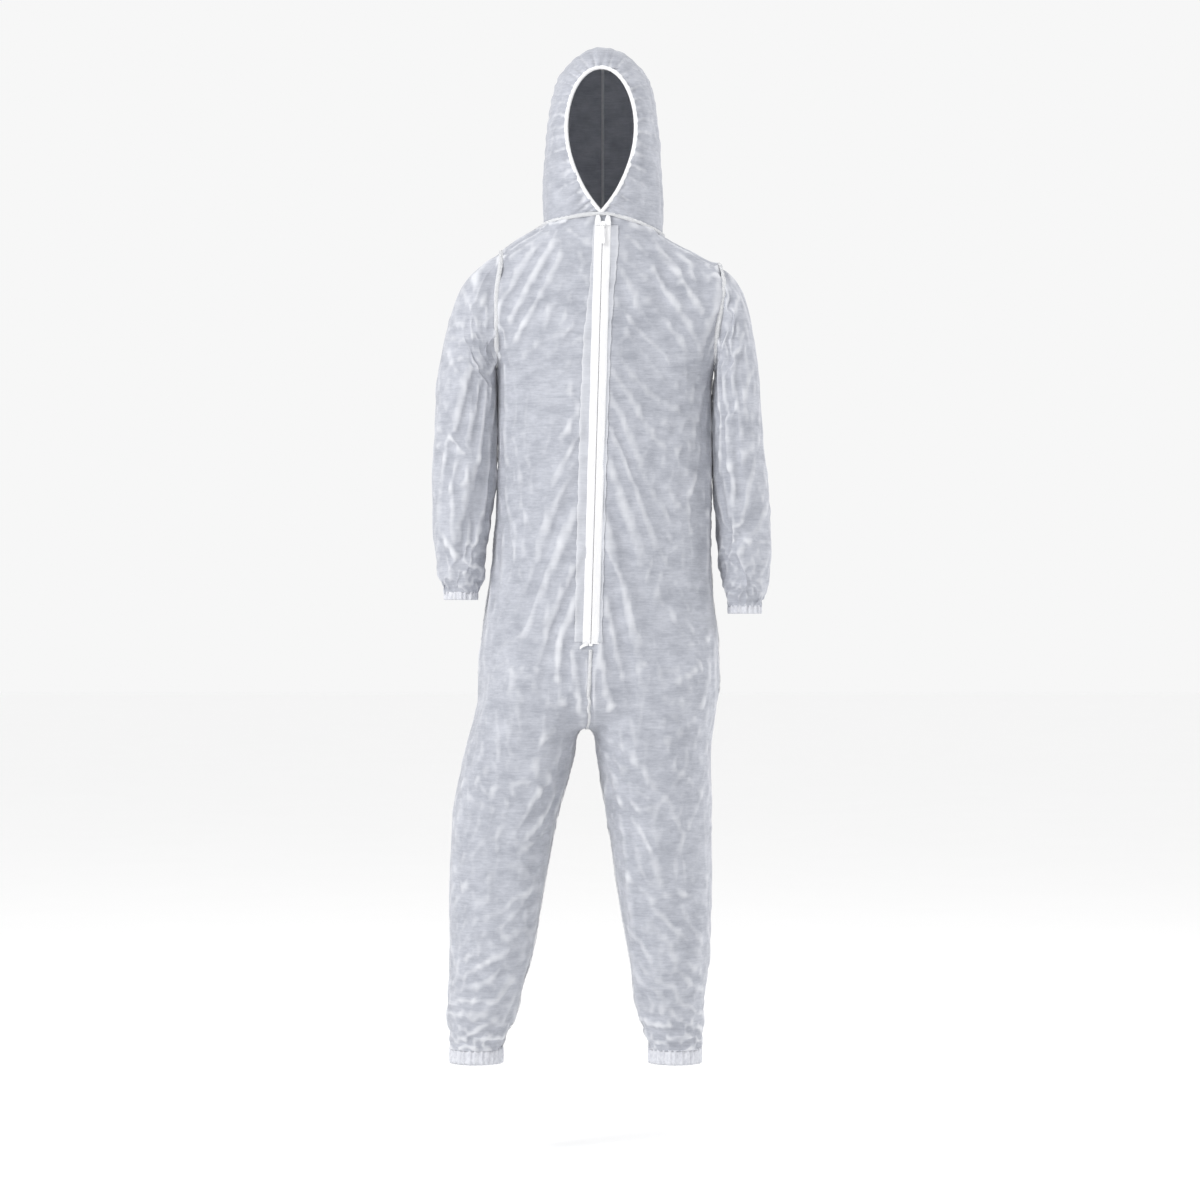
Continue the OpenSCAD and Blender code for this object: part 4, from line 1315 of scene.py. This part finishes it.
def ring_band(name, centre, low, high, outer, inner, ruffle, count, slot_name, turns=180):
    """A flat band closed into a ring round a vertical axis, bunched into small vertical folds."""
    u = np.linspace(0, 2 * pi, turns, endpoint=False)
    wave = np.sin(count * u) + 0.5 * np.sin(1.6 * count * u + 0.8) + 0.4 * np.sin(0.37 * count * u)
    section = []
    for t in np.linspace(0, 1, 7):
        section.append((outer - 0.0006 * (2 * t - 1) ** 4, low + (high - low) * t, 1.0))
    for t in np.linspace(1, 0, 5):
        section.append((inner, low + (high - low) * (0.04 + 0.92 * t), 0.2))
    rows = []
    for a, w in zip(u, wave):
        for r, z, share in section:
            radius = r + ruffle * w * share * 0.5
            rows.append((centre[0] + radius * cos(a), centre[1] + radius * sin(a), z))
    columns = len(section)
    faces = []
    for i in range(turns):
        k = (i + 1) % turns
        for j in range(columns):
            m = (j + 1) % columns
            faces.append([i * columns + j, k * columns + j, k * columns + m, i * columns + m])
    obj = make_object(name, rows, faces)
    return finish_piece(obj, slot_name)


def face_path(count=260):
    outline = face_outline(count)
    points = []
    for x, z in outline:
        width, front, back = HOOD(z)
        share = min(1.0, abs(x - HOOD_X) / width)
        y = (back - front) / 2 - (front + back) / 2 * (1 - share**2.15) ** (1 / 2.15) + 0.0011
        points.append((x, y, z))
    return resampled(shaped(points), 0.0027, closed=True)


def ring_tube(name, path, radius, ruffle, slot_name, sides=12):
    count = len(path)
    ahead = np.roll(path, -1, 0) - np.roll(path, 1, 0)
    ahead /= np.linalg.norm(ahead, axis=1, keepdims=True)
    out = np.cross(ahead, [0, -1, 0])
    out /= np.linalg.norm(out, axis=1, keepdims=True)
    front = np.cross(out, ahead)
    k = np.arange(count)
    wave = np.sin(k * 1.5) * 0.6 + np.sin(k * 2.3 + 1) * 0.4 + np.sin(k * 0.61) * 0.4
    points = []
    for i in range(count):
        for j in range(sides):
            a = 2 * pi * j / sides
            r = radius + ruffle * wave[i] * (0.6 + 0.4 * cos(a))
            points.append(path[i] + r * (cos(a) * out[i] + sin(a) * front[i]))
    faces = []
    for i in range(count):
        n = (i + 1) % count
        for j in range(sides):
            m = (j + 1) % sides
            faces.append([i * sides + j, i * sides + m, n * sides + m, n * sides + j])
    obj = make_object(name, points, faces)
    return finish_piece(obj, slot_name)


def hems():
    """Wrist, ankle and face hems with the elastic inside each."""
    made = {}
    for s in (RIGHT, LEFT):
        for place, radius, height, body, count in (
            ("wrist", 0.028, 0.012, "lower_sleeve_", 19),
            ("ankle", 0.045, 0.024, "shin_", 27),
        ):
            low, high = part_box(place + "_hem_" + SIDES[s])
            centre = ((low[0] + high[0]) / 2, (low[1] + high[1]) / 2)
            hem = ring_band(
                place + "_casing_" + SIDES[s], centre, low[2], low[2] + height + 0.002,
                radius, radius - 0.0052, 0.0022, count, "hem",
            )
            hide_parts(place + "_hem_" + SIDES[s])
            on_body(hem, body + SIDES[s])
            band = ring_band(
                place + "_band_" + SIDES[s], centre, low[2] + 0.0014, low[2] + height - 0.0014,
                radius - 0.0016, radius - 0.0038, 0.0, 9, "elastic", 96,
            )
            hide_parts(place + "_elastic_" + SIDES[s])
            on_body(band, body + SIDES[s])
            made[place + SIDES[s]] = [hem, band]
    path = face_path()
    hem = ring_tube("face_casing", path, 0.0033, 0.0006, "hem")
    stretched = hem.data.attributes.new("stretched", "FLOAT", "POINT")
    stretched.data.foreach_set("value", np.ones(len(hem.data.vertices), np.float32))
    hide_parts("hood_face_hem")
    across_neck(hem)
    band = ring_tube("face_band", path, 0.0014, 0.0, "elastic", 8)
    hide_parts("hood_elastic")
    across_neck(band)
    made["face"] = [hem, band]
    return made


def seams(cloth, trunk):
    """Every sewn seam of the suit, on the whole surface or on the trunk's alone."""
    made = {}

    def keep(key, obj, nodes=()):
        if nodes:
            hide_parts(*nodes)
        made.setdefault(key, []).append(obj)
        return obj

    neck = hood_ring_path()
    on_body(keep("hood", seam("seam_neck", neck, cloth, width=0.007, closed=True, lift=2.2, joint=True)), "torso")
    for s, way in ((RIGHT, -1), (LEFT, 1)):
        name = SIDES[s]
        u = np.linspace(0, 2 * pi, 120, endpoint=False)
        ring = shaped(armhole_ring(s, u))
        obj = seam("seam_armhole_" + name, ring, cloth, width=0.008, closed=True, lift=1.7, joint=True)
        on_body(keep("front" + name, obj, ["armhole_seam_" + name]), "torso")
        sides = [(BODY(z)[s], 0, z) for z in np.linspace(-0.26, hip_height(s), 60)]
        on_body(keep("back" + name, seam("seam_side_" + name, sides, trunk), ["side_seam_" + name]), "torso")
        sides = [(BODY(z)[s], 0, z) for z in np.linspace(hip_height(s), -0.79, 20)]
        across_hip(keep("thigh" + name, seam("seam_side_low_" + name, sides, trunk)))
        zs = np.linspace(0.0, -0.052 if s == RIGHT else -0.062, 30)
        tops = [(BODY(z)[s], 0, z) for z in zs if abs(BODY(z)[s]) < abs(ARM_X[s])]
        obj = seam("seam_shoulder_" + name, shaped(tops), trunk)
        on_body(keep("front" + name, obj, ["shoulder_seam_" + name]), "torso")
        high = (CROTCH[0] + way * 0.002, 0.0, CROTCH[2])
        split = CROTCH[2] - HIP_REACH / 0.866 + 0.028
        zs = np.linspace(CROTCH[2] - 0.012, split, 40)
        inner = [inner_leg(s, z) for z in zs]
        obj = seam("seam_thigh_" + name, [high, *inner], cloth)
        across_hip(keep("thigh" + name, obj, ["thigh_inseam_" + name]))
        zs = np.linspace(split, ANKLE_TOP + 0.002, 80)
        obj = seam("seam_shin_" + name, [inner_leg(s, z) for z in zs], cloth)
        across_knee(keep("shin" + name, obj, ["shin_inseam_" + name]))
    zs = np.linspace(0.0, -0.80, 90)
    back = shaped([(zip_x(z), BODY(z)[2], z) for z in zs])
    on_body(keep("backright", seam("seam_back", back, trunk), ["centre_back_seam"]), "torso")
    zs = np.linspace(-0.716, -0.795, 20)
    low = [(zip_x(z), zip_y(z), z) for z in zs]
    on_body(keep("frontright", seam("seam_front", low, trunk, width=0.006, lift=1.5), ["front_seam"]), "torso")
    under = [
        (zip_x(-0.795), zip_y(-0.795), -0.795),
        (-0.029, -0.09, -0.815),
        (-0.029, -0.03, -0.84),
        (-0.029, 0.04, -0.84),
        (-0.028, 0.10, -0.82),
        (zip_x(-0.80), 0.13, -0.80),
    ]
    on_body(keep("backright", seam("seam_crotch", under, trunk), ["crotch_seam"]), "torso")
    over = [hood_top_point(z, -1) for z in np.linspace(FACE_TOP + 0.004, 0.2985, 20)]
    over += [hood_top_point(z, 1) for z in np.linspace(0.2985, 0.006, 90)]
    obj = seam("seam_crown", shaped(over), cloth)
    across_neck(keep("hood", obj, ["hood_crown_seam"]))
    return made


def hip_height(side):
    """Where the side seam crosses from the body's cloth onto the top of the leg."""
    way = HIP_WAY[side]
    out = BODY(-0.73)[side] - CROTCH[0]
    return CROTCH[2] - out * way[0] / way[2]


def hood_ring_path():
    return shaped(hood_row(NECK_Z, 160)[:-1])


def hood_top_point(z, way):
    width, front, back = HOOD(z)
    return (HOOD_X, back if way > 0 else -front, z)


def inner_leg(side, z):
    x, y, width, depth = LEGS[side](z)
    return (x + (width if side == RIGHT else -width), y, z)


# ---------------------------------------------------------------- zip

ZIP_UP = -ZIP_WAY
ZIP_SIDE = np.array([-ZIP_WAY[2], 0, ZIP_WAY[0]]) / np.linalg.norm([ZIP_WAY[2], ZIP_WAY[0]])
ZIP_OUT = np.cross(ZIP_SIDE, ZIP_UP)
ZIP_LENGTH = float(np.linalg.norm(ZIP_END - ZIP_TOP))


def on_zip(up, side=0.0, out=0.0):
    """A point given by its height above the zip's end, its place across it and how far out it lies."""
    return ZIP_END + ZIP_UP * up + ZIP_SIDE * side + ZIP_OUT * out


def strip(name, rows, slot_name, thickness, step=0.003):
    """A band of cloth or tape from rows of points, given a thickness."""
    columns = len(rows[0])
    points = np.array(rows).reshape(-1, 3)
    faces = tube_faces(len(rows), columns, wrap=False)
    obj = make_object(name, points, faces)
    uv_grid(obj, columns, step, 0.012)
    solid = obj.modifiers.new("thickness", "SOLIDIFY")
    solid.thickness = thickness
    solid.offset = 0
    bevel = obj.modifiers.new("edge", "BEVEL")
    bevel.width = thickness * 0.3
    bevel.segments = 2
    bevel.limit_method = "ANGLE"
    return finish_piece(obj, slot_name)


TAPE_PROFILE = [(0.5, 1.75), (4.0, 1.5), (8.0, 1.35), (12.2, 1.2), (13.6, 0.7)]


def zip_tape(side):
    way = 1 if side == LEFT else -1
    count = 236
    rows = []
    for k in range(count):
        up = 0.001 + (ZIP_LENGTH - 0.001) * k / (count - 1)
        sway = 0.0002 * sin(k * 0.21 + side) + 0.00015 * sin(k * 0.083 + 2 * side)
        rows.append(
            [
                on_zip(up, way * (across * MM + sway * across / 13.6), out * MM + 0.3 * sway)
                for across, out in TAPE_PROFILE
            ]
        )
    return strip("zip_tape_" + SIDES[side] + "_woven", rows, "zip_tape", 0.0007)


def thread_row(name, side, across, out, pitch=0.0032):
    """A row of machine stitches along the tape."""
    way = 1 if side == LEFT else -1
    half, thick = pitch * 0.36, 0.00032
    points, faces = [], []
    count = int((ZIP_LENGTH - 0.006) / pitch)
    for k in range(count):
        up = 0.003 + k * pitch
        first = len(points)
        for share, size in ((-1.0, 0.35), (-0.55, 1.0), (0.55, 1.0), (1.0, 0.35)):
            for turn in range(6):
                a = 2 * pi * turn / 6
                dip = -0.0003 * share**2
                points.append(
                    on_zip(
                        up + half * share,
                        way * across + thick * size * cos(a),
                        out + dip + thick * size * sin(a),
                    )
                )
        for ring in range(3):
            for turn in range(6):
                n = (turn + 1) % 6
                a, b = first + ring * 6, first + (ring + 1) * 6
                faces.append([a + turn, a + n, b + n, b + turn])
        faces.append([first + i for i in range(6)])
        faces.append([first + 18 + i for i in range(5, -1, -1)])
    return finish_piece(make_object(name, points, faces), "seam")


def zip_coil(side):
    """A nylon coil: one filament wound along the tape's edge, a turn to each tooth."""
    way = 1 if side == LEFT else -1
    pitch, radius, filament = 0.0019, 0.00095, 0.00042
    turns = int((ZIP_LENGTH - 0.010) / pitch)
    steps, sides = 10, 5
    count = turns * steps
    k = np.arange(count)
    a = 2 * pi * k / steps
    up = 0.003 + pitch * k / steps + (pitch / 2 if side == LEFT else 0)
    across = way * (0.0014 + 1.35 * radius * np.cos(a))
    out = radius * np.sin(a)
    line = ZIP_END + np.outer(up, ZIP_UP) + np.outer(across, ZIP_SIDE) + np.outer(out, ZIP_OUT)
    ahead = np.gradient(line, axis=0)
    ahead /= np.linalg.norm(ahead, axis=1, keepdims=True)
    first = np.cross(ahead, ZIP_UP)
    first /= np.linalg.norm(first, axis=1, keepdims=True)
    second = np.cross(ahead, first)
    points = np.stack(
        [
            line + filament * (cos(2 * pi * s / sides) * first + sin(2 * pi * s / sides) * second)
            for s in range(sides)
        ],
        1,
    ).reshape(-1, 3)
    faces = tube_faces(count, sides)
    return finish_piece(make_object("zip_coil_" + SIDES[side] + "_wound", points, faces), "zip_coil")


def top_fold(side):
    """The end of a tape, folded outwards and down over itself, with a slanted corner."""
    way = 1 if side == LEFT else -1
    path = [
        (-9, 1.3),
        (-3, 1.5),
        (2, 1.3),
        (5.6, 1.3),
        (8.0, 2.2),
        (8.4, 3.8),
        (7.0, 4.8),
        (3.0, 4.4),
        (-3.0, 3.6),
        (-7.0, 2.7),
    ]
    rows = []
    for up, out in path:
        lift = max(0.0, up) * 0.25
        inner = 2.6 + lift * 1.6
        outer = 13.4 - lift * 0.8
        rows.append(
            [
                on_zip(
                    ZIP_LENGTH + (up + lift * (1 - t)) * MM,
                    way * (inner + (outer - inner) * t) * MM,
                    (out + 0.5 * sin(pi * t)) * MM,
                )
                for t in np.linspace(0, 1, 6)
            ]
        )
    obj = strip("zip_fold_" + SIDES[side], rows, "zip_tape", 0.0006)
    smooth = obj.modifiers.new("smooth", "SUBSURF")
    smooth.levels = 2
    smooth.render_levels = 2
    return obj


# The doubled cloth beside the zip: depth, then its width on the right and on the left, all in mm
FACING = stations(
    [
        (0, 16, 27),
        (-60, 17, 26),
        (-120, 20, 22),
        (-200, 27, 19),
        (-400, 29, 18),
        (-708, 27, 18),
    ]
)


def zip_facing(side, trunk):
    """The turned-in edge of the front panel beside the tape, with the cloth's painted fold highlight over it:
    paler throughout and palest at its turned edge.
    """
    way = 1 if side == LEFT else -1
    count = 236
    rows = []
    strength = []
    for k in range(count):
        up = 0.004 + (ZIP_LENGTH - 0.010) * k / (count - 1)
        centre = on_zip(up)
        edge = FACING(centre[2])[side] + 0.0006 * sin(k * 0.37 + side) + 0.0004 * sin(k * 0.93)
        row = []
        for t in np.linspace(0, 1, 8):
            across = 0.010 + (edge - 0.010) * t
            base, normal = trunk.at(on_zip(up, way * across))
            row.append(base + normal * (0.0007 + 0.0004 * t**4))
            # Painted highlight through the fold attribute: a little over the whole strip, most at its turned outer
            # edge
            strength.append(0.42 + 0.5 * t**6)
        rows.append(row)
    obj = strip("zip_facing_" + SIDES[side], rows, "cloth", 0.0005)
    attribute = obj.data.attributes.new("fold", "FLOAT", "POINT")
    attribute.data.foreach_set("value", np.array(strength, np.float32))
    return obj


def bottom_tail():
    """The tape's spare end, which sticks out below the stop."""
    rows = []
    for k, t in enumerate(np.linspace(0, 1, 9)):
        up = 0.002 - 0.004 * t
        side = -0.004 - 0.014 * t
        out = 0.0016 + 0.0022 * sin(pi * t * 0.9)
        wide = 0.0036 * (1 - 0.35 * t)
        rows.append([on_zip(up + wide * w - 0.004 * t * t, side, out) for w in (-1, -0.33, 0.33, 1)])
    return strip("zip_tail", rows, "zip_tape", 0.0005)


def solid_from_outline(name, outline, low, high, slot_name, centre_up, bevel=0.0005):
    """A plate with a rounded edge: an outline in (across, up), from low to high outwards, in mm."""
    mesh = bmesh.new()
    rings = []
    for out in (low, high):
        rings.append(
            [mesh.verts.new(on_zip(centre_up + up * MM, across * MM, out * MM)) for across, up in outline]
        )
    count = len(outline)
    mesh.faces.new(rings[1])
    mesh.faces.new(rings[0][::-1])
    for i in range(count):
        n = (i + 1) % count
        mesh.faces.new([rings[0][i], rings[0][n], rings[1][n], rings[1][i]])
    bmesh.ops.recalc_face_normals(mesh, faces=mesh.faces)
    data = bpy.data.meshes.new(name)
    mesh.to_mesh(data)
    mesh.free()
    data.polygons.foreach_set("use_smooth", [True] * len(data.polygons))
    obj = bpy.data.objects.new(name, data)
    bpy.context.scene.collection.objects.link(obj)
    edge = obj.modifiers.new("edge", "BEVEL")
    edge.width = bevel
    edge.segments = 3
    edge.limit_method = "ANGLE"
    edge.angle_limit = radians(25)
    return finish_piece(obj, slot_name)


def rounded(points, times=2):
    """A closed outline with its corners cut, twice by default."""
    points = np.array(points, float)
    for _ in range(times):
        ahead = np.roll(points, -1, 0)
        points = np.stack([0.78 * points + 0.22 * ahead, 0.22 * points + 0.78 * ahead], 1).reshape(-1, 2)
    return points


# The slider's parts as outlines (across, up) in mm
SLIDER_PLATE = [(-4.5, 10), (-3.4, 12), (3.4, 12), (4.5, 10), (3.5, 0), (-3.5, 0)]
PULL_TAB = [
    (-2, -2.4),
    (2, -2.4),
    (2.2, -20),
    (4, -23),
    (4, -31),
    (2.6, -32),
    (-2.6, -32),
    (-4, -31),
    (-4, -23),
    (-2.2, -20),
]
PULL_GRIP = [(-2.6, -24.5), (2.6, -24.5), (2.6, -30), (-2.6, -30)]
SLIDER_BASE = ZIP_LENGTH - 12 * MM
PIN_UP = SLIDER_BASE + 6 * MM
PIN_OUT = 7.2 * MM


def beside(middle_high, middle_low, half, high, low):
    """A leaning bar as an outline: its middle at the top and at the bottom, half its width, its ends."""
    return [
        (middle_high - half, high),
        (middle_high + half, high),
        (middle_low + half, low),
        (middle_low - half, low),
    ]


def zip_slider():
    """Slider body, its bridge and the pin, and the pull that hangs from it."""
    body = solid_from_outline("slider_body", rounded(SLIDER_PLATE), 2.45, 3.3, "zip_slider", SLIDER_BASE)
    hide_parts("zip_slider")
    on_body(body, "slider")
    for way, name in ((-1, "right"), (1, "left")):
        outline = rounded(beside(way * 3.6, way * 3.2, 0.5, 11, 1), 1)
        flange = solid_from_outline(
            "slider_flange_" + name, outline, 2.35, 2.85, "zip_slider", SLIDER_BASE, 0.0002
        )
        on_body(flange, "slider")
        outline = rounded(beside(way * 3.0, way * 3.0, 0.55, 8, 4), 1)
        cheek = solid_from_outline(
            "slider_cheek_" + name, outline, 2.9, 8.2, "zip_slider", SLIDER_BASE, 0.0004
        )
        on_body(cheek, "slider")
    pin = tube_between("slider_pin", on_zip(PIN_UP, -0.0034, PIN_OUT), on_zip(PIN_UP, 0.0034, PIN_OUT), 0.0006)
    on_body(finish_piece(pin, "zip_slider"), "slider")
    tab = solid_from_outline("pull_tab", rounded(PULL_TAB), 6.5, 7.9, "zip_slider", PIN_UP)
    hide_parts("zip_pull")
    on_body(tab, "pull")
    grip = solid_from_outline("pull_grip", rounded(PULL_GRIP), 6.2, 8.2, "zip_slider", PIN_UP)
    on_body(grip, "pull")
    eye = torus_on_zip("pull_eye", PIN_UP, 7.2, 1.45, 0.5, 4.0)
    on_body(finish_piece(eye, "zip_slider"), "pull")


def tube_between(name, a, b, radius, sides=16):
    ahead = (b - a) / np.linalg.norm(b - a)
    first = np.cross(ahead, ZIP_UP)
    first /= np.linalg.norm(first)
    second = np.cross(ahead, first)
    rings = []
    for share, size in ((0, 0.6), (0.04, 1), (0.96, 1), (1, 0.6)):
        centre = a + (b - a) * share
        rings.append(
            [
                centre + radius * size * (cos(2 * pi * k / sides) * first + sin(2 * pi * k / sides) * second)
                for k in range(sides)
            ]
        )
    points, faces = closed_loft([np.array(r) for r in rings])
    return make_object(name, points, faces)


def torus_on_zip(name, up, out, radius, thick, width, turns=28):
    """The pull's eye: a rolled loop round the pin, as wide as the pull."""
    rows = []
    profile = rounded([(-width / 2, -thick / 2), (width / 2, -thick / 2), (width / 2, thick / 2), (-width / 2, thick / 2)], 2)
    for k in range(turns):
        a = 2 * pi * k / turns
        rows.append(
            [
                on_zip(up + (radius + r) * cos(a) * MM, across * MM, (out + (radius + r) * sin(a)) * MM)
                for across, r in profile
            ]
        )
    columns = len(profile)
    points = np.array(rows).reshape(-1, 3)
    faces = []
    for i in range(turns):
        n = (i + 1) % turns
        for j in range(columns):
            m = (j + 1) % columns
            faces.append([i * columns + j, i * columns + m, n * columns + m, n * columns + j])
    return make_object(name, points, faces)


def bottom_stop():
    stop = solid_from_outline(
        "zip_stop", rounded([(-2.9, -2.4), (2.9, -2.4), (2.9, 1.6), (-2.9, 1.6)]), -1.4, 1.9, "zip_coil", 0.0
    )
    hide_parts("zip_bottom_stop")
    on_body(stop, "torso")
    return stop


def make_zip(trunk):
    made = {RIGHT: [], LEFT: []}
    for s in (RIGHT, LEFT):
        tape = zip_tape(s)
        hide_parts("zip_tape_" + SIDES[s])
        coil = zip_coil(s)
        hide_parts("zip_coil_" + SIDES[s])
        fold = top_fold(s)
        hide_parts("zip_top_folds")
        edge = thread_row("zip_thread_outer_" + SIDES[s], s, 0.0122, 0.00165)
        near = thread_row("zip_thread_inner_" + SIDES[s], s, 0.0062, 0.00165)
        for piece in (tape, coil, fold, edge, near, zip_facing(s, trunk)):
            on_body(piece, "torso")
            made[s].append(piece)
    tail = bottom_tail()
    on_body(tail, "torso")
    made[RIGHT] += [tail, bottom_stop()]
    zip_slider()
    return made


# ---------------------------------------------------------------- camera, light and floor


def make_stage():
    scene = bpy.context.scene
    scene.view_settings.view_transform = "Standard"
    camera = bpy.data.cameras.new("camera")
    camera.lens = 106.5
    camera.sensor_width = 36
    camera.clip_end = 100
    view = bpy.data.objects.new("camera", camera)
    view.location = (-0.0068, -6, -0.634)
    view.rotation_euler = (radians(90), 0, 0)
    scene.collection.objects.link(view)
    scene.camera = view
    world = bpy.data.worlds.new("studio")
    world.use_nodes = True
    background = world.node_tree.nodes["Background"]
    background.inputs["Color"].default_value = (1.0, 1.0, 1.0, 1)
    background.inputs["Strength"].default_value = 0.93
    scene.world = world
    for name, place, aim, size, energy in (
        ("key", (-3.0, -2.6, 1.9), (0, 0, -0.6), 1.2, 110),
        ("side", (3.2, 0.6, 0.6), (0, 0, -0.7), 1.2, 40),
    ):
        lamp = bpy.data.lights.new(name, "AREA")
        lamp.size = size
        lamp.energy = energy
        obj = bpy.data.objects.new(name, lamp)
        obj.location = place
        way = Vector(aim) - Vector(place)
        obj.rotation_euler = way.to_track_quat("-Z", "Y").to_euler()
        scene.collection.objects.link(obj)
    floor = make_object(
        "floor", [(-30, -30, -1.576), (30, -30, -1.576), (30, 30, -1.576), (-30, 30, -1.576)], [[0, 1, 2, 3]]
    )
    pale = Surface("pale_floor", 0.8)
    speck = pale.noise((3, 3, 3), detail=2)
    pale.colour(pale.blend_colours(speck, (0.975, 0.975, 0.975), (0.99, 0.99, 0.99)))
    floor.data.materials.append(pale.material)


# ---------------------------------------------------------------- everything together


def main():
    make_stage()
    trunk, sleeve_right, sleeve_left, hood = make_garment()
    pieces = split_trunk(*trunk)
    pieces.update(split_sleeve(*sleeve_right, RIGHT))
    pieces.update(split_sleeve(*sleeve_left, LEFT))
    pieces.update(split_hood(*hood))
    surface = Cloth(trunk, sleeve_right, sleeve_left, hood)
    body = Cloth(trunk)
    sewn_on = seams(surface, body)
    edged = hems()
    zipped = make_zip(body)
    for s in (RIGHT, LEFT):
        name = SIDES[s]
        declare(
            pieces["body_front_" + name], 0.86,
        )
        declare(pieces["body_back_" + name], 0.86)
        declare(pieces["leg_top_" + name], 0.24)
        declare(
            pieces["leg_low_" + name], 0.48,
        )
        declare(pieces["sleeve_top_" + name], 0.30)
        declare(pieces["sleeve_low_" + name], 0.34)
    declare(pieces["hood_right"], 0.36)
    declare(pieces["hood_left"], 0.36)


main()
